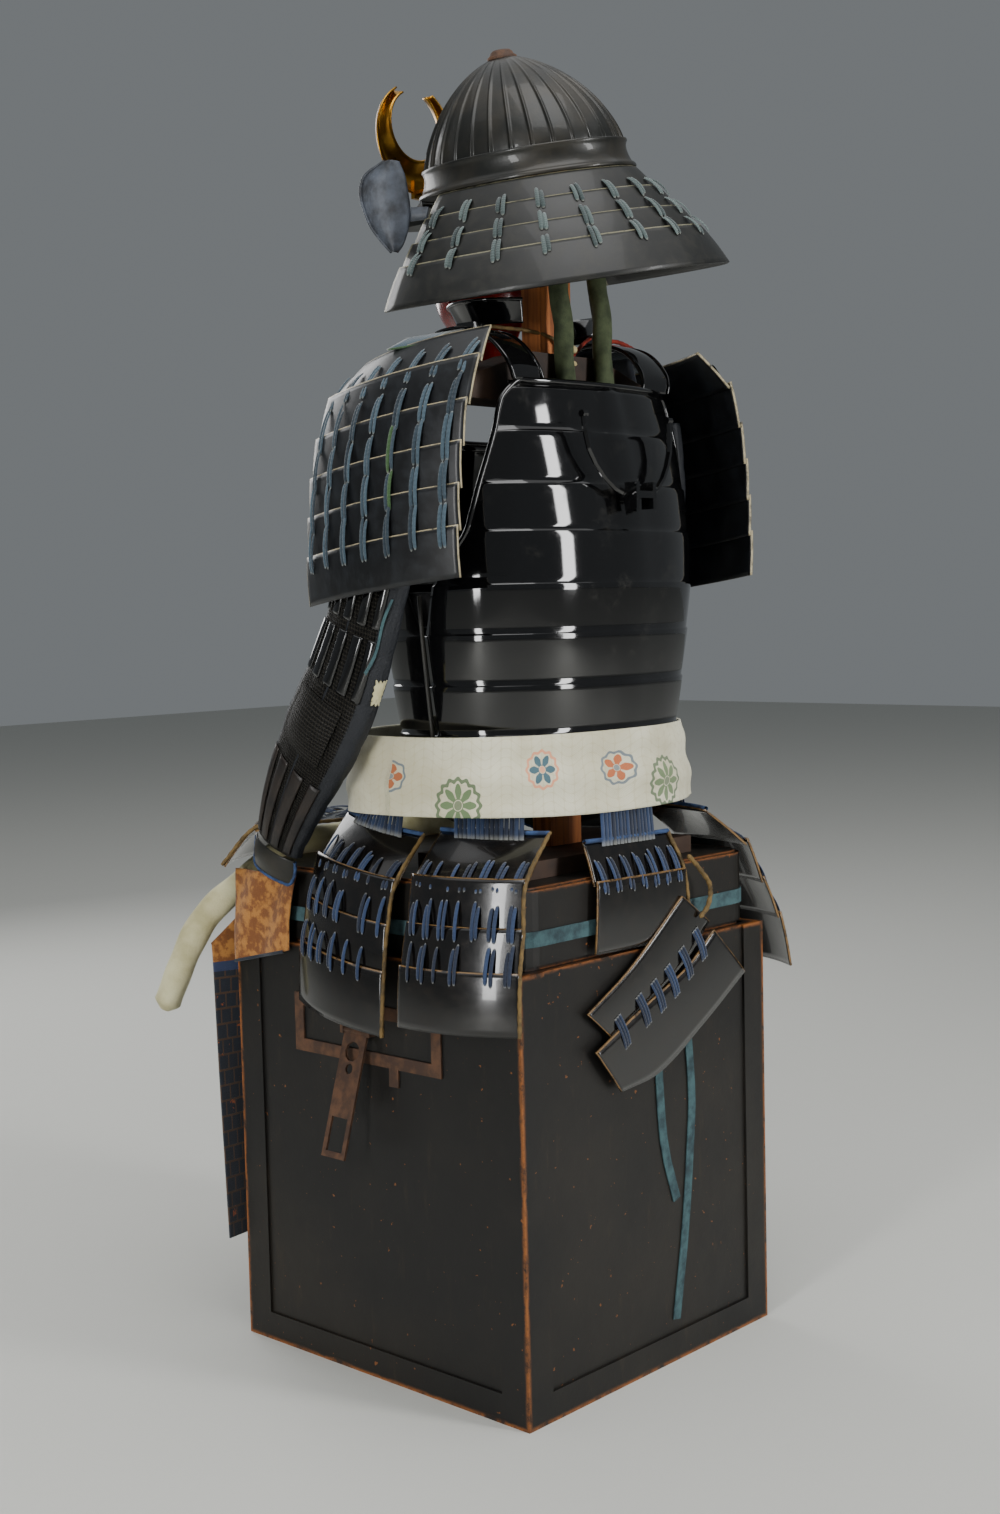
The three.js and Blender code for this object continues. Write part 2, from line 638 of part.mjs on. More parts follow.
add('crest', makeCrest(), 'gilt');

// Face guard: a plain half mask of cheeks and chin, red inside, with a small throat guard
const mask = { y: 18, halfWidth: 72, depth: 78, top: 1300, bottom: 1216 };
function makeMask() {
  const columns = 12;
  const profile = [
    { z: mask.top, size: 0.98 }, { z: mask.top - 30, size: 1 }, { z: mask.top - 60, size: 0.9 },
    { z: mask.bottom, size: 0.68 },
  ];
  const grid = (inward) => profile.map((row, i) => Array.from({ length: columns + 1 }, (_, j) => {
    const angle = rad(mix(192, 348, j / columns));
    const chin = i >= 2 ? 6 * Math.exp(-(((j - columns / 2) / 1.6) ** 2)) : 0;
    return v3(
      (mask.halfWidth * row.size - inward) * Math.cos(angle),
      mask.y + (mask.depth * row.size - inward + chin) * Math.sin(angle),
      row.z,
    );
  }));
  return wallBetween(grid(0), grid(plateWall));
}
add('face_guard', makeMask(), 'redLacquer');

function makeThroatGuard() {
  const columns = 12;
  const profile = [
    { z: mask.bottom - seat, grow: 0.69 }, { z: mask.bottom - 34, grow: 0.86 },
    { z: mask.bottom - 33, grow: 0.9 }, { z: mask.bottom - 68, grow: 1.08 },
  ];
  const grid = (inward) => profile.map((row) => Array.from({ length: columns + 1 }, (_, j) => {
    const angle = rad(mix(202, 338, j / columns));
    return v3(
      (mask.halfWidth * row.grow - inward) * Math.cos(angle),
      mask.y + (mask.depth * row.grow - inward) * Math.sin(angle),
      row.z,
    );
  }));
  return wallBetween(grid(0), grid(plateWall));
}
add('throat_guard', makeThroatGuard(), 'blackLacquer');

// Cuirass: two plates of riveted lames, joined at the left side by a hinge. Each lame's top
// edge stands a little proud of the one above it.
function torsoRows(top) {
  const levels = [{ z: torso[0].z, proud: 0 }];
  for (const z of lameSeams) {
    if (z + 6 < top) levels.push({ z: z - 1.5, proud: seamProud }, { z, proud: 0 });
  }
  levels.push({ z: top - 8, proud: 0 }, { z: top, proud: 1.2 });
  return levels;
}
function torsoPlate(facing, top) {
  const side = facing > 0 ? 'back' : 'front';
  const spread = [0, 0.11, 0.23, 0.35, 0.44, 0.5, 0.56, 0.65, 0.77, 0.89, 1];
  const grid = (inward) => torsoRows(top).map((level) => {
    const a = sectionAt(torso, level.z, 'a');
    const b = sectionAt(torso, level.z, 'b');
    const clear = rad(sectionAt(torso, level.z, side)) + seat / a;
    return spread.map((share) => {
      const angle = mix(clear, Math.PI - clear, share) * facing;
      const grow = inward ? -inward : level.proud;
      const ridge = share === 0.5 ? 2.4 : 0;
      const [x, y] = roundedPoint(angle, a + grow, b + grow + ridge);
      return v3(x, axisY + y, level.z);
    });
  });
  return wallBetween(grid(0), grid(plateWall));
}

// Banner bracket: a U of iron rod hinged at two lugs on the back plate, with a square socket
const bracket = { half: 76, y: 214, z: 1104, drop: 92, rod: 3.6, lug: 5.5, socketY: 226 };
function makeLugs() {
  return [-1, 1].map((side) => {
    const outer = side * (bracket.half + 4.6);
    const x = [outer, outer + side * 4].sort((p, q) => p - q);
    return block(x[0], 168, bracket.z - 6, x[1], bracket.y + bracket.lug, bracket.z + 6);
  });
}
add('cuirass_back', joined([torsoPlate(1, backTop), ...makeLugs()]), 'blackLacquer');
add('cuirass_front', torsoPlate(-1, frontTop), 'blackLacquer');

function makeBracket() {
  const arm = [
    [-bracket.half, bracket.y, bracket.z], [-bracket.half + 3, bracket.y + 3, bracket.z - 34],
    [-bracket.half + 22, bracket.y + 8, bracket.z - 66], [-30, bracket.socketY, bracket.z - 84],
    [0, bracket.socketY, bracket.z - 88], [30, bracket.socketY, bracket.z - 84],
    [bracket.half - 22, bracket.y + 8, bracket.z - 66], [bracket.half - 3, bracket.y + 3, bracket.z - 34],
    [bracket.half, bracket.y, bracket.z],
  ];
  const rod = tube(arm, bracket.rod, 6, 14);
  const pivots = [-1, 1].map((side) => {
    const pin = new THREE.CylinderGeometry(4.2, 4.2, 8.4, 8);
    pin.rotateZ(Math.PI / 2);
    pin.translate(side * bracket.half, bracket.y, bracket.z);
    return pin;
  });
  const low = bracket.z - 104;
  const high = bracket.z - 74;
  const socket = [
    block(-24, bracket.socketY - 3, bracket.z - 92, 24, bracket.socketY + 3, bracket.z - 84),
    block(-18, bracket.socketY - 3, low, -12, bracket.socketY + 14, high),
    block(12, bracket.socketY - 3, low, 18, bracket.socketY + 14, high),
    block(-18, bracket.socketY + 9, bracket.z - 92, 18, bracket.socketY + 14, bracket.z - 84),
  ];
  return joined([rod, ...pivots, ...socket]);
}
add('banner_bracket', makeBracket(), 'iron');

// Side hinge: a long knuckled rod in the left seam
function makeHinge() {
  const points = Array.from({ length: 5 }, (_, i) => {
    const z = mix(748, 908, i / 4);
    const [x] = roundedPoint(0, sectionAt(torso, z, 'a'), 100);
    return [x + seamProud + seat + 2.6, axisY, z];
  });
  return tube(points, 2.4, 8, 8);
}
add('side_hinge', makeHinge(), 'iron');

// Shoulder straps from the back plate's top over to the breastplate, and the collar wings
function makeStrap() {
  const [, backY] = roundedPoint(rad(56), sectionAt(torso, backTop, 'a'), sectionAt(torso, backTop, 'b'));
  const start = axisY + backY;
  const path = [
    [112, start, backTop + seat + 0.2], [118, start - 4, 1164], [120, start - 30, 1192], [121, 96, 1205],
    [120, 56, 1203], [116, 20, 1184], [110, -8, 1150], [104, -22, frontTop + seat + 1],
  ];
  const curve = new THREE.CatmullRomCurve3(path.map((p) => v3(...p)), false, 'centripetal');
  const steps = 14;
  const half = 24;
  const thick = 3.6;
  const rings = Array.from({ length: steps + 1 }, (_, i) => {
    const at = curve.getPoint(i / steps);
    const along = curve.getTangent(i / steps);
    const up = v3(1, 0, 0).cross(along).normalize().multiplyScalar(-thick / 2);
    if (i === 0 || i === steps) up.set(0, i === 0 ? thick / 2 : -thick / 2, 0);
    const dip = i === 0 || i === steps ? 0 : 3;
    return [
      v3(half, 0, -dip).add(up).add(at), v3(0, 0, 0).add(up).add(at), v3(-half, 0, -dip).add(up).add(at),
      v3(-half, 0, -dip).sub(up).add(at), v3(0, 0, 0).sub(up).add(at), v3(half, 0, -dip).sub(up).add(at),
    ];
  });
  return loft(rings);
}
const strap = makeStrap();
add('shoulder_strap_left', strap, 'blackLacquer');
add('shoulder_strap_right', mirrored(strap), 'blackLacquer');

function makeCollarWing() {
  const columns = 8;
  const grid = (inward) => [0, 1].map((row) => Array.from({ length: columns + 1 }, (_, j) => {
    const angle = rad(mix(-48, 40, j / columns));
    const radius = 92 + row * 20 * Math.sin(Math.PI * (0.1 + 0.8 * (j / columns))) - inward;
    return v3(radius * Math.cos(angle), 72 + radius * 0.86 * Math.sin(angle), 1213 + row * 26);
  }));
  const wing = wallBetween(grid(0), grid(3));
  const tab = block(88.5, 60, 1207.5, 114, 84, 1215.5);
  return joined([wing, tab]);
}
const wing = makeCollarWing();
add('collar_wing_left', wing, 'blackLacquer');
add('collar_wing_right', mirrored(wing), 'blackLacquer');

// Waist sash: a folded band of padded brocade wound round the cuirass and tied in front
function makeSash() {
  const columns = 32;
  const profile = [
    { z: sash.high, a: 210, b: 160 }, { z: sash.high - 28, a: 214, b: 161.5 },
    { z: sash.low + 26, a: 219, b: 166 }, { z: sash.low, a: 221, b: 167.5 },
  ];
  const grid = (inward) => profile.map((row, i) => Array.from({ length: columns }, (_, j) => {
    const angle = (j / columns) * 2 * Math.PI;
    const wave = (i * 0.4 + 0.3) * Math.sin(3 * angle + 0.6) + 0.4 * Math.sin(7 * angle + i);
    const sway = angle > Math.PI * 0.25 && angle < Math.PI * 0.75 ? 0 : wave;
    const [x, y] = roundedPoint(angle, row.a + sway - inward, row.b + sway - inward);
    return v3(sash.x + x, sash.y + y, row.z + 3 * Math.sin(angle * 2 + 1) * (i / 3));
  }));
  return wallBetween(grid(0), grid(sash.wall), true);
}
add('sash', makeSash(), 'brocade');

// The cuirass' lower edge in the direction of a point beneath it
function underWaist(point) {
  const a = torso[0].a - plateWall / 2;
  const b = torso[0].b - plateWall / 2;
  const dx = point.x / a;
  const dy = (point.y - axisY) / b;
  const scale = (Math.abs(dx) ** torsoPower + Math.abs(dy) ** torsoPower) ** (1 / torsoPower);
  return v3(point.x / scale, axisY + (point.y - axisY) / scale, torso[0].z - seat);
}

// A plate of lames hung on laces: place(s, out, z) puts a point of the plate in the frame,
// s running from -1 to 1 across it
function lamesOf(rows, spanAt, place, columns, lacesPerRow) {
  const pieces = [];
  const normals = rows.slice(1).map((low, k) => {
    const run = low.out - rows[k].out;
    const fall = rows[k].z - low.z;
    const length = Math.hypot(run, fall);
    return { out: fall / length, up: run / length };
  });
  const tops = rows.slice(0, -1).map((high, k) => {
    const n = normals[k];
    const lift = k === 0 ? 0 : lame.step;
    const tuck = k === 0 ? 0 : lame.tuck;
    return { out: high.out + n.out * lift - n.up * tuck, z: high.z + n.up * lift + n.out * tuck };
  });
  rows.slice(1).forEach((low, k) => {
    const n = normals[k];
    const top = tops[k];
    const grid = (inward) => [top, low].map((row, i) => Array.from({ length: columns + 1 }, (_, j) => (
      place((j / columns) * 2 - 1, row.out - n.out * inward, row.z - n.up * inward, spanAt(k + i))
    )));
    pieces.push(wallBetween(grid(0), grid(lame.thick)));
  });
  const onFacet = (s, row, width) => {
    const column = ((s + 1) / 2) * columns;
    const left = Math.min(Math.floor(column), columns - 1);
    const edge = (j) => place((j / columns) * 2 - 1, row.out, row.z, width);
    return edge(left).lerp(edge(left + 1), column - left);
  };
  // Each lace runs from the face of one lame down into the top edge of the next
  const onFace = (k, drop, lift) => {
    const [top, low, n] = [tops[k], rows[k + 1], normals[k]];
    const share = drop / Math.hypot(low.out - top.out, low.z - top.z);
    return { out: mix(top.out, low.out, share) + n.out * lift, z: mix(top.z, low.z, share) + n.up * lift };
  };
  for (let k = 1; k < rows.length - 1; k += 1) {
    const above = Math.hypot(rows[k].out - tops[k - 1].out, rows[k].z - tops[k - 1].z);
    for (let lace = 0; lace < lacesPerRow; lace += 1) {
      const middle = (Math.floor(((lace + 0.5) / lacesPerRow) * columns) + 0.5) / columns * 2 - 1;
      const half = 0.62 / columns;
      const face = (lift) => [onFace(k - 1, above * 0.45, lift), onFace(k, 10, lift)].map((row) => (
        [-half, half].map((side) => onFacet(middle + side, row, spanAt(k)))
      ));
      pieces.push(wallBetween(face(lame.strip), face(-lame.bite)));
    }
  }
  return pieces;
}

function makeTasset(spec) {
  const columns = 5;
  const dir = [Math.cos(rad(spec.face)), Math.sin(rad(spec.face))];
  const spanAt = (row) => mix(spec.top, spec.bottom, row / (spec.rows.length - 1));
  const place = (s, out, z, width) => {
    const along = (s * width) / 2;
    const reach = out - (along * along) / (2 * (spec.sagRadius || 210));
    return v3(
      spec.x + dir[0] * reach - dir[1] * along,
      spec.y + dir[1] * reach + dir[0] * along,
      z - along * Math.tan(rad(spec.lean)),
    );
  };
  const pieces = lamesOf(spec.rows, spanAt, place, columns, 2);
  // The hanging laces: a woven band from the cuirass' lower edge to the top lame
  const [top, next] = spec.rows;
  const run = Math.hypot(next.out - top.out, next.z - top.z);
  const slope = { out: (top.z - next.z) / run, up: (next.out - top.out) / run };
  const [bandFrom, bandTo] = spec.band || [-0.6, 0.6];
  const band = (inward) => [0, 0.25, 0.5, 0.75, 1].map((share) => {
    const s = mix(bandFrom, bandTo, share);
    const [out, z] = [mix(top.out, next.out, 0.14), mix(top.z, next.z, 0.14)];
    const foot = place(s, out - inward * slope.out, z - inward * slope.up, spec.top);
    return [underWaist(place(s, top.out, top.z, spec.top)), foot];
  });
  const outer = band(0.6).map(([head]) => head);
  const lower = band(0.6).map(([, low]) => low);
  const shifted = (points, by) => points.map((p) => v3(p.x + dir[0] * by, p.y + dir[1] * by, p.z));
  pieces.push(wallBetween(
    [outer, lower],
    [shifted(outer, -1.4), shifted(lower, -1.4)],
  ));
  return joined(pieces);
}
for (const spec of tassets) {
  add(spec.name, makeTasset(spec), 'blackLacquer');
}

// Shoulder guards: six lames over each arm, with the front end hanging lower
function makeGuard() {
  const place = (s, out, z, width) => {
    const along = (s * width) / 2;
    const reach = out - guard.sag * s * s;
    return v3(reach, guard.y + along, z + along * Math.tan(rad(guard.lean)));
  };
  const spanAt = (row) => (row === 0 ? guard.topWidth : guard.width);
  const pieces = lamesOf(guardRows, spanAt, place, 5, 3);
  const hung = (drop) => [44, 104].map((y) => [
    v3(guard.hang.x, y, guard.hang.z - drop), v3(guardRows[0].out + 4, y, guardRows[0].z - 3 - drop),
  ]);
  pieces.push(wallBetween(hung(0), hung(1.8)));
  return joined(pieces);
}
const shoulderGuard = makeGuard();
add('shoulder_guard_left', shoulderGuard, 'blackLacquer');
add('shoulder_guard_right', mirrored(shoulderGuard), 'blackLacquer');

// Sleeves: padded cloth tubes, open at the armhole and the wrist
function sleevePoint(t, angle, lift) {
  const low = Math.min(Math.floor(t), sleeveRows.length - 2);
  const here = sleeveRows[low];
  const next = sleeveRows[low + 1];
  const share = t - low;
  const pick = (key) => mix(here[key], next[key], share);
  const before = sleeveRows[Math.max(low - (share < 0.01 ? 1 : 0), 0)];
  const fall = v3(0, next.y - before.y, next.z - before.z).normalize();
  const fore = v3(0, fall.z, -fall.y);
  const centre = v3(pick('x'), pick('y'), pick('z'));
  centre.x += (pick('side') + lift) * Math.cos(angle);
  return centre.addScaledVector(fore, (pick('fore') + lift) * Math.sin(angle));
}
function makeSleeve() {
  const columns = 12;
  const ring = (i, inward) => Array.from({ length: columns }, (_, j) => (
    sleevePoint(i, (j / columns) * 2 * Math.PI, -inward)
  ));
  const grid = (inward) => Array.from({ length: wristRow + 1 }, (_, i) => ring(i, inward));
  const cloth = wallBetween(grid(0), grid(clothWall), true);
  const flap = (thick) => [48, 76].map((y) => [
    v3(196.4 + thick, y, 1098), v3(194.4 + thick, y, 1124), v3(162, y, 1194.8 - thick),
  ]);
  return joined([cloth, wallBetween(flap(0), flap(clothWall))]);
}
const sleeve = makeSleeve();
add('sleeve_left', sleeve, 'indigo');
add('sleeve_right', mirrored(sleeve), 'indigo');

const clearOfCloth = 1.1;

// Iron pieces sewn on the outside of a sleeve: rows of splints, the elbow disc and the hand
function sleevePlate(rows, spread, columns, lifts) {
  const grid = (inward) => rows.map((t, i) => Array.from({ length: columns + 1 }, (_, j) => {
    const angle = rad(mix(-spread, spread, j / columns));
    return sleevePoint(t, angle, clearOfCloth + (inward ? 0 : lifts(i, j)));
  }));
  return wallBetween(grid(0), grid(1));
}
const splints = (i, j) => (j % 2 ? 3.4 : 1.5);
const disc = (i, j) => 2 + 7 * Math.sin(Math.PI * j / 4) * Math.sin(Math.PI * i / 3);
const ironOnSleeve = [
  ['arm_splints', sleevePlate([2.2, 3, 4, 4.12], 58, 10, splints), 'blackLacquer'],
  ['elbow_plate', sleevePlate([4.35, 4.65, 5, 5.4], 34, 4, disc), 'blackLacquer'],
  ['forearm_splints', sleevePlate([5.75, 6, 7, wristRow - 0.1], 62, 10, splints), 'blackLacquer'],
  ['hand_guard', sleevePlate([wristRow + 0.118, wristRow + 0.5, wristRow + 1], 70, 6, () => 2), 'brownIron'],
];
for (const [name, geometry, finish] of ironOnSleeve) {
  add(`${name}_left`, geometry, finish);
  add(`${name}_right`, mirrored(geometry), finish);
}

// Thigh apron: a padded belt roll across the front edge of the lid with its ends hanging,
// and two panels of lined cloth falling before the box
const beltPath = [
  [0, -228, 604.6], [75, -229, 606.1], [130, -240, 598], [190, -249, 566], [243, -278, 512],
  [280, -310, 407],
];
const beltRadius = 17;
const beltAcross = [...beltPath.slice(1).reverse().map(([x, y, z]) => [-x, y, z]), ...beltPath];
add('apron_belt', tube(beltAcross, beltRadius, 8, 22), 'creamCloth');

const panel = { inner: 8, outer: 236, low: 118, front: -256, wall: 2.6, below: 5, fold: 5 };
function makePanel() {
  const columns = 7;
  const rows = 8;
  const beltAt = (x) => {
    const k = beltPath.findIndex((point) => point[0] >= x);
    const [near, far] = [beltPath[Math.max(k - 1, 0)], beltPath[Math.max(k, 1)]];
    const share = (x - near[0]) / (far[0] - near[0]);
    const steep = Math.hypot(1, (far[2] - near[2]) / (far[0] - near[0]));
    return [mix(near[1], far[1], share), mix(near[2], far[2], share), steep];
  };
  const pointAt = (down, across, back) => {
    const x = mix(panel.inner, panel.outer, across);
    const [beltY, beltZ, steep] = beltAt(x);
    const z = mix(beltZ - (beltRadius + panel.below) * steep, panel.low, down);
    const fold = panel.fold * Math.sin(x / 21 + 2 * down) * Math.sin(Math.PI * Math.min(down, 0.8));
    return v3(x, mix(beltY + 1.5, panel.front, Math.sqrt(down)) + fold + back, z);
  };
  const grid = (back) => Array.from({ length: rows + 1 }, (_, i) => (
    Array.from({ length: columns + 1 }, (_, j) => pointAt(i / rows, j / columns, back))
  ));
  return wallBetween(grid(0), grid(panel.wall));
}
const apronPanel = makePanel();
add('apron_left', apronPanel, 'goldCloth');
add('apron_right', mirrored(apronPanel), 'goldCloth');

// The back tasset's two lower lames, hanging askew behind the box from broken laces
function makeLooseLames() {
  const third = {
    y: 236.9, top: [[-55, 553], [40, 485], [119, 443]], low: [[-107, 516], [-49, 470], [79, 410]],
  };
  const fourth = {
    y: 240.4,
    top: [[-111, 506], [-57, 469], [30, 434], [110, 399]],
    low: [[-173, 446], [-90, 398], [-6, 356], [67, 346]],
  };
  const plateOf = ({ y, top, low }) => {
    const grid = (out) => [top, low].map((row) => row.map(([x, z]) => v3(x, y + out, z)));
    return wallBetween(grid(lame.thick), grid(0));
  };
  const lace = ([x, z]) => {
    const face = (out) => [[x + 8, z + 15, third.y], [x - 7, z - 22, fourth.y]].map(([px, pz, y]) => (
      [-7, 7].map((side) => v3(px + side * 0.85, y + lame.thick + out, pz - side * 0.5))
    ));
    return wallBetween(face(lame.strip), face(-lame.bite));
  };
  const laces = [[-84, 496], [-30, 461], [24, 436], [62, 418]].map(lace);
  return joined([plateOf(third), plateOf(fourth), ...laces]);
}
add('tasset_back_loose', makeLooseLames(), 'blackLacquer');

// Cords and ribbons
const cordRadius = 12;
const cordLeft = [
  [18, 122.1, 1374], [19, 128, 1320], [20, 134, 1255], [19, 139, 1190], [20, 141, 1120], [22, 143, 1055],
  [20, 141, 1000],
];
const cordRight = [
  [-14, 122.7, 1374], [-38, 128, 1320], [-51, 134, 1255], [-50, 139, 1190], [-49, 141, 1120],
  [-46, 143, 1055],
  [-44, 141, 1000],
];
add('olive_cord_left', tube(cordLeft, cordRadius, 10, 12), 'oliveCord');
add('olive_cord_right', tube(cordRight, cordRadius, 10, 12), 'oliveCord');

// A braid tied round the lid, and two tails lying down the back of the box
const braid = { width: 17, thick: 1.6, z: 535 };
function makeLidBraid() {
  const grow = (extra) => [
    box.width / 2 - lid.inset + extra, box.depth / 2 - lid.inset + extra, lid.corner + extra,
  ];
  const low = braid.z - braid.width / 2;
  const outer = roundedSlab(...grow(seat + braid.thick), low, low + braid.width);
  const inner = roundedSlab(...grow(seat), low - 1, low + braid.width + 1);
  return cut(outer, inner);
}
add('lid_braid', makeLidBraid(), 'tealCord');
const tailY = box.depth / 2 - box.proud + seat + 0.9;
const tailLong = [
  [-66, tailY, 430], [-73, tailY, 367], [-77, tailY, 306], [-72, tailY, 247], [-60, tailY, 150],
  [-41, tailY, 49],
];
const tailShort = [[-12, tailY, 430], [-16, tailY, 330], [-24, tailY, 258], [-45, tailY, 193]];
add('braid_tail_long', ribbon(tailLong, [0, 1, 0], 13, 1.4), 'tealCord');
add('braid_tail_short', ribbon(tailShort, [0, 1, 0], 13, 1.4), 'tealCord');

export default group;
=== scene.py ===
import math
import bpy
import numpy as np
from mathutils import Matrix, Vector


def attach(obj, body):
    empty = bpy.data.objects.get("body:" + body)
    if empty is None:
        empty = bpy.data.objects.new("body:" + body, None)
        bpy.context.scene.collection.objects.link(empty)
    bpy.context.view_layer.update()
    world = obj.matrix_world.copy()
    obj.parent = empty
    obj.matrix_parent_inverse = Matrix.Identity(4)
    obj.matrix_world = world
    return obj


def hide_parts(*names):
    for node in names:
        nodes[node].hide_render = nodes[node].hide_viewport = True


# Samurai armour on its armour box. Shapes are worked out in millimetres in the part's frame:
# +Z up, the wearer faces -Y, the wearer's left is +X. Pieces turn to metres when they are made.
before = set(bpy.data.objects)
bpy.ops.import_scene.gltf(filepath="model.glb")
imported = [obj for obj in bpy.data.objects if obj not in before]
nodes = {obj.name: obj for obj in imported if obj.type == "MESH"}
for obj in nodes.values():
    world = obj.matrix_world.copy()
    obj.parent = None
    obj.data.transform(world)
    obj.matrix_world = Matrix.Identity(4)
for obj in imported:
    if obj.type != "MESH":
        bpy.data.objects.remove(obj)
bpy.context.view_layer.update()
print("stage: frame loaded")

# Camera, floor and light
camera = {"azimuth": 132.74, "pitch": 4.56, "roll": -1.365, "distance": 2.336,
          "side": 0.0044, "height": 0.897, "lens": 45.6}
light = {"world": (0.42, 0.45, 0.47), "worldStrength": 0.4}


# The camera looks level with the armour's waist: back is the direction from the scene to it,
# and its right and up axes are turned by the roll.
def addCamera():
    a, e, r = (math.radians(camera[k]) for k in ("azimuth", "pitch", "roll"))
    back = Vector((math.sin(a) * math.cos(e), -math.cos(a) * math.cos(e), math.sin(e)))
    right = (-back).cross(Vector((0, 0, 1))).normalized()
    up = right.cross(-back)
    across = right * math.cos(r) + up * math.sin(r)
    above = -right * math.sin(r) + up * math.cos(r)
    data = bpy.data.cameras.new("camera")
    data.lens = camera["lens"]
    data.sensor_width = 36
    data.clip_start, data.clip_end = 0.05, 60
    obj = bpy.data.objects.new("camera", data)
    turn = Matrix((across, above, back)).transposed().to_4x4()
    place = Vector((math.sin(a), -math.cos(a), 0)) * camera["distance"] + right * camera["side"]
    place.z = camera["height"]
    obj.matrix_world = Matrix.Translation(place) @ turn
    bpy.context.scene.collection.objects.link(obj)
    bpy.context.scene.camera = obj


# A rectangular lamp at place, turned to face aim
def addLight(name, place, aim, size, power, colour=(1, 1, 1)):
    data = bpy.data.lights.new(name, "AREA")
    data.shape = "RECTANGLE"
    data.size, data.size_y = size
    data.energy = power
    data.color = colour
    obj = bpy.data.objects.new(name, data)
    obj.location = place
    obj.rotation_mode = "QUATERNION"
    obj.rotation_quaternion = (Vector(aim) - Vector(place)).to_track_quat("-Z", "Y")
    bpy.context.scene.collection.objects.link(obj)


addCamera()
addLight("softboxRight", (-0.72, 3.1, 1.5), (0, 0.1, 1.0), (0.5, 2.3), 74)
addLight("softboxLeft", (3.2, 0.75, 1.35), (0, 0.1, 0.9), (0.45, 2.2), 66)
addLight("softboxTop", (0.6, 0.9, 3.4), (0, 0.1, 0.9), (1.8, 1.8), 34)
addLight("softboxFront", (-0.6, -3.0, 2.0), (0, 0, 0.9), (1.6, 1.6), 40)
addLight("softboxWide", (0, 0.4, 6.0), (0, 0.4, 0), (9, 9), 190)
print("stage: camera and lights")


# Wraps an output socket, so that shader maths reads as plain expressions.
class Sock:
    def __init__(self, mat, socket):
        self.mat = mat
        self.socket = socket

    def op(self, name, *others, clamp=False):
        return self.mat.node("ShaderNodeMath", {"operation": name, "use_clamp": clamp},
                             [self, *others])

    def __add__(self, o): return self.op("ADD", o)
    def __radd__(self, o): return self.mat.lift(o).op("ADD", self)
    def __sub__(self, o): return self.op("SUBTRACT", o)
    def __rsub__(self, o): return self.mat.lift(o).op("SUBTRACT", self)
    def __mul__(self, o): return self.op("MULTIPLY", o)
    def __rmul__(self, o): return self.mat.lift(o).op("MULTIPLY", self)
    def __truediv__(self, o): return self.op("DIVIDE", o)
    def __lt__(self, o): return self.op("LESS_THAN", o)
    def __gt__(self, o): return self.op("GREATER_THAN", o)
    def abs(self): return self.op("ABSOLUTE")
    def sin(self): return self.op("SINE")
    def sqrt(self): return self.op("SQRT")
    def floor(self): return self.op("FLOOR")
    def fract(self): return self.op("FRACT")
    def min(self, o): return self.op("MINIMUM", o)
    def max(self, o): return self.op("MAXIMUM", o)
    def clamp(self): return self.op("ADD", 0.0, clamp=True)

    # 0 below low, 1 above high, smooth between
    def step(self, low, high):
        return self.mat.node("ShaderNodeMapRange", {"interpolation_type": "SMOOTHSTEP"},
                             [self, low, high, 0.0, 1.0])


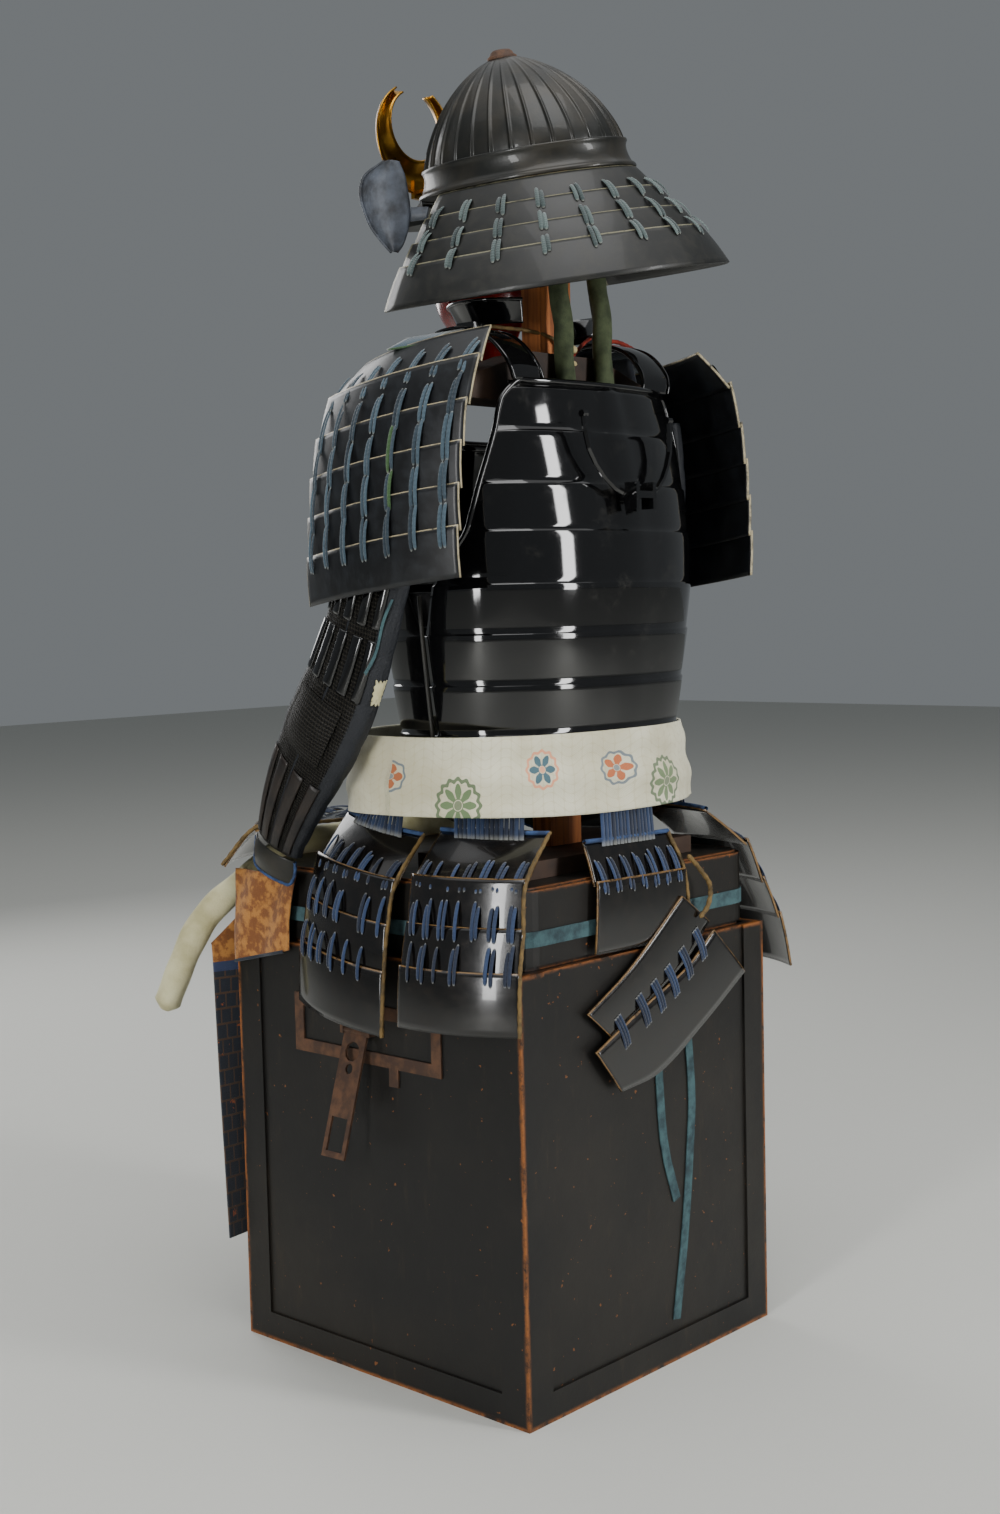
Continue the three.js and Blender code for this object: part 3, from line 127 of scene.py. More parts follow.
# One procedural material on a principled shader; colours are 0 to 255
class Mat:
    def __init__(self, name, colour, roughness=0.5, metallic=0.0, **fixed):
        self.data = bpy.data.materials.new(name)
        self.data.use_nodes = True
        self.tree = self.data.node_tree
        self.shader = next(n for n in self.tree.nodes if n.type == "BSDF_PRINCIPLED")
        self.set("Base Color", self.tint(colour) if isinstance(colour, tuple) else colour)
        self.set("Roughness", roughness)
        self.set("Metallic", metallic)
        for key, value in fixed.items():
            self.set({"coat": "Coat Weight", "coatRough": "Coat Roughness", "sheen": "Sheen Weight",
                      "spec": "Specular IOR Level"}[key], value)

    # From 0-255 display values to linear light
    def tint(self, rgb):
        return tuple(((c / 255 + 0.055) / 1.055) ** 2.4 if c > 10 else c / 255 / 12.92
                     for c in rgb) + (1.0,)

    # Makes one node: its settings first, then its inputs in order, each a value or a link
    def node(self, kind, settings, inputs, out=0):
        made = self.tree.nodes.new(kind)
        for key, value in settings.items():
            setattr(made, key, value)
        for index, value in (inputs.items() if isinstance(inputs, dict) else enumerate(inputs)):
            if isinstance(value, Sock):
                self.tree.links.new(value.socket, made.inputs[index])
            elif value is not None:
                made.inputs[index].default_value = value
        return Sock(self, made.outputs[out])

    # A plain number as a node's output
    def lift(self, value):
        return self.node("ShaderNodeMath", {"operation": "ADD"}, [float(value), 0.0])

    def set(self, name, value):
        if isinstance(value, Sock):
            self.tree.links.new(value.socket, self.shader.inputs[name])
        else:
            self.shader.inputs[name].default_value = value

    # a where share is 0, b where it is 1
    def mix(self, share, a, b):
        a, b = (self.tint(c) if isinstance(c, tuple) and len(c) == 3 else c for c in (a, b))
        return self.node("ShaderNodeMix", {"data_type": "RGBA"}, {0: share, 6: a, 7: b}, out=2)

    # x, y and z of the piece's own coordinates, in metres
    def place(self):
        coords = self.node("ShaderNodeTexCoord", {}, [], out=3)
        split = self.node("ShaderNodeSeparateXYZ", {}, [coords])
        return [Sock(self, split.socket.node.outputs[k]) for k in range(3)]

    # The piece's u and v
    def uv(self):
        coords = self.node("ShaderNodeUVMap", {"uv_map": "flat"}, [])
        split = self.node("ShaderNodeSeparateXYZ", {}, [coords])
        return [Sock(self, split.socket.node.outputs[k]) for k in range(2)]

    def join(self, x, y, z=0.0):
        return self.node("ShaderNodeCombineXYZ", {}, [x, y, z])

    def noise(self, scale, detail=3.0, vector=None, rough=0.55):
        if vector is None:
            vector = self.node("ShaderNodeTexCoord", {}, [], out=3)
        return self.node("ShaderNodeTexNoise", {}, {"Vector": vector, "Scale": scale,
                                                    "Detail": detail, "Roughness": rough})

    def bump(self, height, strength=0.5, distance=0.001):
        self.set("Normal", self.node("ShaderNodeBump", {},
                                     {"Strength": strength, "Distance": distance, "Height": height}))


# Turns one grid of points, or a stack of equal grids, into a mesh of quads. The points run
# rows by columns; wrap joins the last column to the first; inside is a point that the faces
# look away from. flat holds the u and v of each point.
def surface(name, points, material, body="armour", wrap=False, inside=None, flat=None,
            wall=0.0, smooth=True, replaces=()):
    points = np.asarray(points, float)
    if points.ndim == 3:
        points = points[None]
    count, rows, cols = points.shape[:3]
    spans = cols if wrap else cols - 1
    i, j = np.meshgrid(np.arange(rows - 1), np.arange(spans), indexing="ij")
    right = (j + 1) % cols
    quad = np.stack([i * cols + j, i * cols + right, (i + 1) * cols + right, (i + 1) * cols + j], -1)
    faces = quad.reshape(-1, 4)[None] + (np.arange(count) * rows * cols)[:, None, None]
    faces = faces.reshape(-1, 4)
    flatPoints = points.reshape(-1, 3)
    if inside is not None:
        a, b, c = (flatPoints[faces[:, k]] for k in (0, 1, 3))
        facing = (np.cross(b - a, c - a) * (a - np.asarray(inside, float))).sum()
        if facing < 0:
            faces = faces[:, ::-1]
    mesh = bpy.data.meshes.new(name)
    mesh.vertices.add(len(flatPoints))
    mesh.vertices.foreach_set("co", (flatPoints * 0.001).ravel())
    mesh.loops.add(faces.size)
    mesh.loops.foreach_set("vertex_index", faces.ravel().astype(np.int32))
    mesh.polygons.add(len(faces))
    mesh.polygons.foreach_set("loop_start", np.arange(len(faces), dtype=np.int32) * 4)
    mesh.update(calc_edges=True)
    mesh.polygons.foreach_set("use_smooth", np.full(len(faces), smooth))
    if flat is None:
        v, u = np.meshgrid(np.linspace(0, 1, rows), np.linspace(0, 1, cols), indexing="ij")
        flat = np.broadcast_to(np.stack([u, v], -1)[None], (count, rows, cols, 2))
    layer = mesh.uv_layers.new(name="flat")
    layer.data.foreach_set("uv", np.asarray(flat, float).reshape(-1, 2)[faces.ravel()].ravel())
    obj = bpy.data.objects.new(name, mesh)
    bpy.context.scene.collection.objects.link(obj)
    mesh.materials.append(material.data)
    if wall:
        mod = obj.modifiers.new("wall", "SOLIDIFY")
        mod.thickness = wall * 0.001
        mod.offset = -1
    if body:
        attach(obj, body)
    if replaces:
        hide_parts(*replaces)
    return obj


# Points of a tube about a path: radius times cos and sin of the turn, on two directions
# square to the path. lobes and twist make a laid rope of it.
def tubePoints(path, radius, sides=12, up=(0, 0, 1), lobes=0, twist=0.0, depth=0.12, taper=None):
    path = np.asarray(path, float)
    along = np.gradient(path, axis=0)
    along /= np.linalg.norm(along, axis=1, keepdims=True)
    side = np.cross(along, np.asarray(up, float))
    side /= np.linalg.norm(side, axis=1, keepdims=True)
    rise = np.cross(side, along)
    turn = np.linspace(0, 2 * np.pi, sides, endpoint=False)[None, :]
    travel = np.concatenate([[0], np.cumsum(np.linalg.norm(np.diff(path, axis=0), axis=1))])[:, None]
    size = radius * (1 + (depth * np.cos(lobes * turn + twist * travel) if lobes else 0))
    if taper is not None:
        size = size * np.asarray(taper)[:, None]
    return (path[:, None] + (size * np.cos(turn))[..., None] * side[:, None]
            + (size * np.sin(turn))[..., None] * rise[:, None])


# A smooth curve through rows of numbers (Catmull-Rom), read at t, which counts rows
def smoothRows(rows, t):
    p = np.vstack([2 * rows[0] - rows[1], rows, 2 * rows[-1] - rows[-2]])
    t = np.clip(t, 0, len(rows) - 1.000001)
    k = t.astype(int)
    f = (t - k)[..., None]
    a, b, c, d = p[k], p[k + 1], p[k + 2], p[k + 3]
    return 0.5 * (2 * b + (c - a) * f + (2 * a - 5 * b + 4 * c - d) * f ** 2
                  + (3 * b - a - 3 * c + d) * f ** 3)


# Points spaced evenly along a smooth curve through the given ones
def curveThrough(points, count):
    line = smoothRows(np.asarray(points, float), np.linspace(0, len(points) - 1.000001, count * 4))
    length = np.concatenate([[0], np.cumsum(np.linalg.norm(np.diff(line, axis=0), axis=1))])
    even = np.linspace(0, length[-1], count)
    return np.stack([np.interp(even, length, line[:, k]) for k in range(3)], -1)


# The same points with x turned to -x
def mirrorX(points):
    points = np.array(points, float)
    points[..., 0] *= -1
    return points


# Materials
floorLook = Mat("floorLook", (200, 200, 194), 0.85)
floorLook.set("Roughness", 0.75 + floorLook.noise(30) * 0.2)


# Two tones blotted together by noise, as rough as roughness plus the blots
def plainMat(name, colour, second, roughness, scale=40, metallic=0.0, bump=0.3, bumpScale=300, **fixed):
    made = Mat(name, colour, roughness, metallic, **fixed)
    blot = made.noise(scale, 4)
    made.set("Base Color", made.mix(blot.step(0.35, 0.7), colour, second))
    made.set("Roughness", blot * 0.25 + (roughness - 0.12))
    if bump:
        made.bump(made.noise(bumpScale, 4), bump, 0.0006)
    return made


ironLook = plainMat("blackenedIron", (24, 25, 22), (44, 40, 32), 0.4, 22, 0.3, 0.3, 220, coat=0.2)
rustLook = plainMat("rustIron", (70, 52, 42), (104, 74, 54), 0.72, 60, 0.35, 0.8, 160)
giltLook = plainMat("gilt", (176, 132, 52), (112, 76, 26), 0.3, 26, 1.0, 0.15, 120)
redLook = plainMat("redLacquer", (128, 12, 6), (88, 8, 5), 0.22, 30, 0.0, 0.1, 60, coat=0.5)
leatherLook = plainMat("greyLeather", (74, 80, 90), (26, 28, 32), 0.5, 34, 0.0, 0.9, 210)
darkWoodLook = plainMat("darkWood", (66, 46, 32), (40, 28, 20), 0.6, 18)
indigoLook = plainMat("indigoCloth", (24, 30, 42), (40, 46, 56), 0.9, 30, 0.0, 0.8, 500, sheen=0.2)
oliveLook = plainMat("oliveCord", (74, 84, 56), (50, 58, 38), 0.9, 60, 0.0, 0.9, 700)
tealLook = plainMat("tealBraid", (62, 92, 96), (38, 56, 62), 0.85, 60, 0.0, 1.0, 800)
creamLook = plainMat("creamCloth", (205, 200, 160), (164, 156, 112), 0.88, 16, 0.0, 0.7, 420, sheen=0.2)
boneLook = plainMat("boneToggle", (206, 188, 138), (160, 138, 90), 0.4, 60, 0.0, 0.2, 200)
goldCordLook = plainMat("goldRope", (116, 92, 48), (70, 56, 30), 0.7, 90, 0.1, 0.8, 700)
blueCordLook = plainMat("blueCord", (52, 78, 120), (34, 50, 80), 0.85, 90, 0.0, 0.8, 700)
redCordLook = plainMat("redCord", (150, 44, 24), (110, 26, 14), 0.85, 60, 0.0, 0.8, 700)


# Wood: grain is noise drawn out along z
def woodMat(name, light, dark):
    made = Mat(name, light, 0.62)
    x, y, z = made.place()
    grain = made.noise(5.0, 6, made.join(x * 34.0, y * 34.0, z * 1.6))
    made.set("Base Color", made.mix(grain.step(0.35, 0.68), light, dark))
    made.bump(grain, 0.3, 0.0008)
    return made


postLook = woodMat("postWood", (196, 118, 58), (140, 76, 34))


# Deep black lacquer: gloss broken by faint dust and fine rubs
def lacquerMat():
    made = Mat("blackLacquer", (9, 9, 10), 0.1, 0.0, coat=0.5, coatRough=0.06)
    dust = made.noise(26, 6, rough=0.7)
    fine = made.noise(340, 3)
    made.set("Roughness", dust.step(0.5, 0.85) * 0.22 + 0.07)
    made.set("Base Color", made.mix((dust.step(0.55, 0.8) * fine).clamp() * 0.5, (8, 8, 9), (64, 62, 56)))
    made.bump(made.noise(9, 2), 0.12, 0.002)
    return made


lacquerLook = lacquerMat()


# Lames: near-black lacquer or iron with cream wear along the top edge and the two ends
def lameMat(name, ground, second, roughness, metallic, wear=(172, 160, 128), reach=0.03, coat=0.0):
    made = Mat(name, ground, roughness, metallic, coat=coat)
    u, v = made.uv()
    blot = made.noise(60, 5, rough=0.7)
    edge = (u.min(1.0 - u) * 6.0).min(v)
    worn = 1.0 - (edge + (blot - 0.5) * 0.06).step(reach * 0.5, reach)
    base = made.mix(blot.step(0.4, 0.75), ground, second)
    made.set("Base Color", made.mix(worn * blot.step(0.3, 0.55), base, wear))
    made.set("Roughness", blot * 0.2 + (roughness - 0.1))
    made.bump(blot, 0.2, 0.0004)
    return made


guardLameLook = lameMat("guardLame", (12, 13, 15), (26, 29, 33), 0.36, 0.0)
neckLameLook = lameMat("neckLame", (18, 19, 17), (34, 33, 28), 0.46, 0.1, (132, 128, 102), 0.04, 0.1)
tassetLameLook = lameMat("tassetLame", (10, 9, 9), (24, 19, 15), 0.2, 0.0, (120, 92, 56), 0.03, 0.4)


# Laces: u carries each strand's own tone, v runs along it; ribs across stand for the weave
def laceMat(name, tones):
    made = Mat(name, tones[0], 0.85, 0.0, sheen=0.3)
    u, v = made.uv()
    blot = made.noise(150, 3)
    colour = made.mix((u * 1.3 + blot * 0.5 - 0.35).clamp(), tones[0], tones[1])
    colour = made.mix((u > 0.965) * 1.0, colour, tones[2])
    made.set("Base Color", made.mix(((v * 2.0 - 1.0).abs().step(0.86, 1.0)) * 0.5, colour, (150, 150, 140)))
    made.bump((v * 60.0).sin() * 0.5 + made.noise(900, 2), 0.5, 0.0005)
    return made


guardLaceLook = laceMat("guardLace", ((28, 42, 52), (62, 82, 94), (54, 84, 46)))
neckLaceLook = laceMat("neckLace", ((46, 58, 58), (84, 98, 96), (74, 88, 84)))
tassetLaceLook = laceMat("tassetLace", ((15, 26, 46), (36, 56, 90), (180, 184, 186)))


# Box lacquer: worn orange-brown where an edge or corner is near, fine rubs all over
def boxMat(name, halfX, halfY, lowZ, highZ):
    made = Mat(name, (26, 25, 23), 0.4, spec=0.3)
    x, y, z = made.place()
    blot = made.noise(38, 6, rough=0.7)
    long = made.noise(6, 4)
    dx = halfX - x.abs()
    dy = halfY - y.abs()
    dz = (z - lowZ).min(highZ - z).max(0.0)
    corner = dx.max(dy)
    rim = dz + dx.min(dy) * 0.5
    edge = corner.min(rim)
    worn = (1.0 - (edge + (blot - 0.5) * 0.012).step(0.0015, 0.006)).clamp()
    rub = (made.noise(4, 6, made.join(x * 14.0, y * 14.0, z * 3.0), 0.7)).step(0.56, 0.78) * 0.35
    base = made.mix(long.step(0.35, 0.7), (22, 21, 20), (34, 31, 27))
    base = made.mix(rub, base, (66, 54, 40))
    base = made.mix(made.noise(150, 2, rough=0.5).step(0.72, 0.76) * 0.6, base, (150, 92, 46))
    made.set("Base Color", made.mix(worn * blot.step(0.34, 0.62), base, (146, 88, 42)))
    made.set("Roughness", blot * 0.25 + 0.28)
    made.bump(blot + made.noise(9, 3) * 2.0, 0.25, 0.0012)
    return made


boxLook = boxMat("boxLacquer", 0.224, 0.23325, 0.0, 0.5)
lidLook = boxMat("lidLacquer", 0.214, 0.22325, 0.5, 0.59)


# Sash brocade. u and v are millimetres round and up the band. A fine twill, a small scrolling
# ground, and roundels: a petalled flower of n lobes, r = size * (1 - depth + depth * cos(n a)).
sashMotifs = [
    # at u, v, size, petals, ring colour, flower colour
    (0.0, 45, 18, 4, (96, 112, 124), (170, 88, 38)),
    (92.0, 14, 32, 8, (78, 102, 66), (92, 118, 76)),
    (205.0, 52, 22, 6, (226, 150, 112), (44, 88, 104)),
    (300.0, 48, 19, 5, (96, 112, 124), (186, 92, 34)),
    (362.0, 26, 29, 8, (78, 102, 66), (98, 122, 78)),
    (-96.0, 40, 19, 5, (96, 112, 124), (170, 88, 38)),
    (-190.0, 20, 30, 8, (78, 102, 66), (92, 118, 76)),
    (500.0, 50, 22, 6, (226, 150, 112), (44, 88, 104)),
    (620.0, 20, 30, 8, (78, 102, 66), (92, 118, 76)),
    (760.0, 46, 19, 5, (96, 112, 124), (186, 92, 34)),
    (900.0, 24, 28, 8, (78, 102, 66), (98, 122, 78)),
]


def sashMat():
    made = Mat("sashBrocade", (215, 212, 185), 0.8, 0.0, sheen=0.25)
    u, v = made.uv()
    blot = made.noise(12, 4)
    colour = made.mix(blot.step(0.35, 0.7), (216, 213, 188), (196, 190, 160))
    scroll = ((u * 0.23).sin() * (v * 0.31 + (u * 0.11).sin() * 2.0).sin()).abs()
    colour = made.mix((scroll < 0.09) * 0.35, colour, (182, 172, 128))
    for at, up, size, petals, ring, flower in sashMotifs:
        dx, dy = (u - at) / size, (v - up) / size
        far = (dx * dx + dy * dy).sqrt()
        turn = made.node("ShaderNodeMath", {"operation": "ARCTAN2"}, [dy, dx])
        lobe = (turn * float(petals)).op("COSINE")
        edge = far - (0.62 + lobe * 0.16)
        petal = (edge < 0.0) * (far > 0.2)
        vein = (lobe < -0.7) * (far > 0.24)
        outline = (far - (0.9 + (turn * float(petals * 2)).op("COSINE") * 0.05)).abs() < 0.075
        colour = made.mix(petal * (1.0 - vein * 0.8) * 0.95, colour, flower)
        colour = made.mix((far < 0.17) * 0.8, colour, ring)
        colour = made.mix(outline * 0.9, colour, ring)
    made.set("Base Color", colour)
    made.bump(((u + v) * 3.2).sin() * 0.4 + made.noise(600, 2), 0.4, 0.0005)
    return made


sashLook = sashMat()


# Gold-brown brocade above, small dark plates on cloth below
def apronMat():
    made = Mat("apronCloth", (140, 85, 30), 0.8, 0.0, sheen=0.2)
    x, z = made.place()[::2]
    blot = made.noise(36, 5, rough=0.7)
    tone = made.noise(90, 4)
    cloth = made.mix(tone.step(0.42, 0.6), (120, 70, 26), (172, 116, 52))
    cloth = made.mix(blot.step(0.6, 0.7) * 0.7, cloth, (60, 42, 30))
    row = (z * 52.0).fract()
    plate = ((x * 70.0 + (z * 52.0).floor() * 0.5).fract() > 0.12) * (row > 0.14)
    plates = made.mix(plate, (70, 48, 30), (20, 27, 38))
    plates = made.mix((blot > 0.64) * 1.0, plates, (140, 70, 28))
    below = 1.0 - (z + (blot - 0.5) * 0.02).step(0.452, 0.458)
    trim = (z - 0.458).abs() < 0.006
    colour = made.mix(below, cloth, plates)
    made.set("Base Color", made.mix(trim * 1.0, colour, (40, 52, 84)))
    made.bump(plate * below * 1.5 + made.noise(500, 3), 0.6, 0.0012)
    return made


apronLook = apronMat()


# Sleeve: ring mail over its outer side, plain indigo cloth elsewhere; u and v are millimetres,
# with u = 0 along the middle of the outer side and 270 once round
def mailMat():
    made = Mat("mailCloth", (26, 30, 36), 0.62)
    u, v = made.uv()
    ring = ((u * 0.95 + v * 0.2).sin() * (v * 0.8).sin()).abs()
    outer = (u * 0.02327 + 1.5708).sin()
    cloth = 1.0 - outer.step(0.6, 0.66)
    blot = made.noise(40, 4)
    colour = made.mix(ring.step(0.25, 0.6), (44, 41, 35), (5, 5, 5))
    colour = made.mix(cloth, colour, (11, 16, 24))
    made.set("Base Color", made.mix(blot.step(0.55, 0.75) * 0.3, colour, (34, 32, 28)))
    made.set("Metallic", 0.5 - cloth * 0.5)
    made.bump(ring * (1.0 - cloth) * 3.0 + made.noise(400, 3) * cloth, 0.9, 0.0012)
    return made


mailLook = mailMat()

# CAD nodes that show as they are, and their finish
nodeLooks = {
    "box_body": boxLook, "box_lid": lidLook, "lock_plate": rustLook, "hasp": rustLook,
    "stand_foot": darkWoodLook, "stand_post": postLook, "stand_shoulder_board": darkWoodLook,
    "helmet_rest": postLook, "throat_guard": redLook, "banner_bracket": lacquerLook,
    "side_hinge": ironLook, "lid_braid": tealLook, "braid_tail_long": tealLook,
    "braid_tail_short": tealLook, "helmet_visor": ironLook,
}
for nodeName, look in nodeLooks.items():
    nodes[nodeName].data.materials.clear()
    nodes[nodeName].data.materials.append(look.data)
print("stage: materials")


# Floor and room colour
def addFloor():
    size = 12000
    corner = np.array([[[-size, -size, 0], [size, -size, 0]], [[-size, size, 0], [size, size, 0]]])
    floor = surface("floor", corner, floorLook, inside=(0, 0, -1000), smooth=False, body=None)
    world = bpy.data.worlds.new("room")
    bpy.context.scene.world = world
    world.use_nodes = True
    ground = world.node_tree.nodes["Background"]
    ground.inputs[0].default_value = (*light["world"], 1)
    ground.inputs[1].default_value = light["worldStrength"]


addFloor()

# Helmet
helmet = {"y": 66, "z": 1413.6, "lean": 10.2, "halfX": 104, "halfY": 124, "height": 118,
          "crownX": 4, "crownY": -8, "ribs": 30, "ribHigh": 3.2, "ribWide": 1.4}


# Turns helmet coordinates into the part's: a turn about Y, then a shift
def helmetPlace(p):
    a = math.radians(helmet["lean"])
    x, y, z = p[..., 0], p[..., 1], p[..., 2]
    return np.stack([x * math.cos(a) + z * math.sin(a), y + helmet["y"],
                     helmet["z"] + z * math.cos(a) - x * math.sin(a)], -1)


# Bowl: radius times (1 - (h / height) ^ 1.5) ^ 0.6, with a thin ridge along every plate's edge
def bowlPoints(angle, extra, up):
    share = np.clip(up / helmet["height"], 0, 0.995)
    scale = (1 - share ** 1.5) ** 0.6
    lean = share ** 2
    return np.stack([(helmet["halfX"] * scale + extra) * np.cos(angle) + helmet["crownX"] * lean,
                     (helmet["halfY"] * scale + extra) * np.sin(angle) + helmet["crownY"] * lean,
                     up + 0 * angle], -1)


def makeBowl():
    per = 20
    count = helmet["ribs"] * per
    angle = (np.arange(count) / count * 2 * np.pi)[None, :]
    up = (helmet["height"] * np.sin(np.linspace(0, 1, 44) ** 0.9 * np.pi / 2) * 0.992)[:, None]
    scale = (1 - np.clip(up / helmet["height"], 0, 0.995) ** 1.5) ** 0.6
    gap = (np.arange(count) % per - per / 2)[None, :] / per * 2 * np.pi / helmet["ribs"] * 114 * scale
    rib = helmet["ribHigh"] * np.exp(-(gap / helmet["ribWide"]) ** 2) * np.clip(scale * 1.6 - 0.2, 0, 1)
    surface("helmetBowl", helmetPlace(bowlPoints(angle, rib, up)), ironLook, wrap=True,
            inside=(0, 66, 1420), wall=2.2, replaces=["helmet_bowl"])
    ring = np.linspace(0, 2 * np.pi, 48, endpoint=False)[None, :]
    knob = np.array([(17, 114.5), (17.5, 117), (14, 119.5), (13, 122), (10, 124.6), (6.5, 125), (6, 120)])
    knobPoints = np.stack([knob[:, :1] * np.cos(ring) + helmet["crownX"],
                           knob[:, :1] * np.sin(ring) + helmet["crownY"], knob[:, 1:] + 0 * ring], -1)
    surface("crownRing", helmetPlace(knobPoints), rustLook, wrap=True, inside=(0, 66, 1300))
    profile = np.array([(3.0, 5), (5.2, 4.4), (5.6, 2.4), (4.4, 0.6), (3.4, -3), (3.8, -8), (5.0, -13),
                        (6.8, -18), (8.6, -21.4), (10.6, -22.6), (12.4, -24.4), (13.0, -26.6), (12.2, -28.2)])
    turn = np.linspace(0, 2 * np.pi, 160, endpoint=False)[None, :]
    band = np.stack([(helmet["halfX"] + profile[:, :1]) * np.cos(turn),
                     (helmet["halfY"] + profile[:, :1]) * np.sin(turn), profile[:, 1:] + 0 * turn], -1)
    surface("helmetBand", helmetPlace(band), ironLook, wrap=True, inside=(0, 66, 1400), wall=2.2,
            replaces=["helmet_band"])


makeBowl()


# Lames and their laces. rows are (out, height) pairs; each lame hangs from just above its row,
# lift proud of the one above, down to the next row. place(s, out, height, width) puts a point
# in the frame, s running from -1 to 1 across; lames bow outwards by bow * sin(pi t).
def lameEdges(rows, lift, tuck):
    rows = np.asarray(rows, float)
    run = rows[1:] - rows[:-1]
    run /= np.linalg.norm(run, axis=1, keepdims=True)
    normal = np.stack([-run[:, 1], run[:, 0]], -1)
    top = rows[:-1] + normal * lift - run * tuck
    top[0] = rows[0]
    return top, rows[1:], normal


def lamed(name, rows, place, widths, lameLook, laceLook, columns, inside, replaces=(), lift=4.8,
          tuck=6.0, laceUp=20.0, laceDown=9.0, strand=3.3, spread=3.6, seed=1, bow=1.2, wall=2.6,
          missing=0.0):
    top, low, normal = lameEdges(rows, lift, tuck)
    count = len(top)
    s = np.linspace(-1, 1, 41)[None, None, :]
    t = np.linspace(0, 1, 10)[None, :, None]
    bulge = bow * np.sin(np.pi * t)
    line = lambda axis: (top[:, None, None, axis] * (1 - t) + low[:, None, None, axis] * t
                         + normal[:, None, None, axis] * bulge)
    width = widths[:-1, None, None] * (1 - t) + widths[1:, None, None] * t
    surface(name, place(s, line(0), line(1), width), lameLook, inside=inside, wall=wall,
            replaces=replaces)
    rng = np.random.default_rng(seed)
    run = low - top
    long = np.linalg.norm(run, axis=1, keepdims=True)
    k = np.arange(1, count)
    facing = normal[k - 1] + normal[k]
    facing /= np.linalg.norm(facing, axis=1, keepdims=True)
    mid = widths[k][:, None, None]
    shape = (len(k), len(columns), 2)
    tone = rng.random(shape)
    tone = np.where(tone > 0.985, 1.0, tone * 0.9)
    centre = (np.asarray(columns, float)[None, :, None] * mid / 2
              + np.array([-0.5, 0.5]) * spread + (rng.random(shape) - 0.5) * 1.2)
    t = 0.5 - 0.5 * np.cos(np.pi * np.linspace(0, 1, 12))[:, None]
    a = np.linspace(-1, 1, 7)[None, :]
    pinch = (1 - np.abs(2 * t - 1) ** 9) ** 0.5
    rise = 1.7 + (1.5 * np.sqrt(1 - a ** 2) + 3.0 * np.sin(np.pi * t) ** 0.8) * np.clip(pinch, 0.2, 1)
    wide = lambda v: v[..., None, None]
    kept = rng.random(shape) > missing
    vary = 1 + (rng.random((2,) + shape) - 0.5) * 0.3
    fall = (run / long)[:, None, None]
    start = low[k - 1][:, None, None] - fall[k - 1] * laceUp * vary[0][..., None]
    end = top[k][:, None, None] + fall[k] * laceDown * vary[1][..., None]
    across = (wide(centre) + strand * 0.5 * pinch * a) / wide(mid / 2)
    along = lambda axis: (wide(start[..., axis]) * (1 - t) + wide(end[..., axis]) * t
                          + wide(facing[:, axis, None, None]) * rise)
    out, high, across, size = np.broadcast_arrays(along(0), along(1), across, wide(mid))
    flat = np.stack([np.broadcast_to(wide(tone), out.shape), np.broadcast_to(t, out.shape)], -1)
    chosen = kept.ravel()
    surface(name + "Laces", place(across, out, high, size).reshape(-1, 12, 7, 3)[chosen], laceLook,
            inside=inside, flat=flat.reshape(-1, 12, 7, 2)[chosen])


# Neck guard: four lames round the back, with the laces running over their edges
neckRows = np.array([(12, -28.4), (36, -62), (58, -88), (78, -112), (106, -150)], float)
neckSpan = (-16, 196)


def neckPlace(s, out, up, width):
    angle = np.radians(neckSpan[0] + (neckSpan[1] - neckSpan[0]) * (s + 1) / 2)
    out, up, angle = np.broadcast_arrays(out, up, angle)
    return helmetPlace(np.stack([(helmet["halfX"] + out) * np.cos(angle),
                                 (helmet["halfY"] + out) * np.sin(angle), up], -1))


lamed("neckGuard", neckRows, neckPlace, np.array([430, 500, 570, 630, 720.0]), neckLameLook,
      neckLaceLook, np.linspace(-0.92, 0.92, 13), (0, 66, 1300), ["neck_guard"], lift=4.6, tuck=7,
      laceUp=20, laceDown=16, strand=4.4, spread=4.8, seed=3)
print("stage: helmet")

# Cuirass: rows of riveted lames. Each section is the power curve x = a * sgn(cos) |cos| ^ 0.8,
# y = 75 + b * sgn(sin) |sin| ^ 0.8; a lame stands proud by 1.8 t + 0.25 sin(pi t), t from its
# lower seam to its top edge, and the middle of each plate carries a soft ridge.
torso = np.array([(742, 180, 126, 0, 0), (752, 180.5, 127, 0, 0), (807, 187, 134, 0, 0),
                  (864, 193, 141, 0, 0), (919, 197, 146, 4, 6), (977, 198, 143, 21, 33),
                  (1029, 196, 135, 28, 45), (1087, 190, 122, 37, 50), (1112, 184, 116, 39, 52),
                  (1142, 175, 108, 44, 54)], float)
cuirass = {"seams": (752, 807, 864, 919, 977, 1029, 1087), "axisY": 75, "proud": 1.8, "bow": 0.25,
           "ridge": 2.4, "backTop": 1142, "frontTop": 1094, "wall": 2.4, "rim": 3.2}


def at(rows, z, column):
    return np.interp(z, rows[:, 0], rows[:, column])


def rounded(angle, a, b):
    c, s = np.cos(angle), np.sin(angle)
    return a * np.sign(c) * np.abs(c) ** 0.8, b * np.sign(s) * np.abs(s) ** 0.8


def torsoPoint(angle, z, grow, ridge=0.0):
    x, y = rounded(angle, at(torso, z, 1) + grow, at(torso, z, 2) + grow + ridge)
    return np.stack([x, cuirass["axisY"] + y, z + 0 * angle], -1)


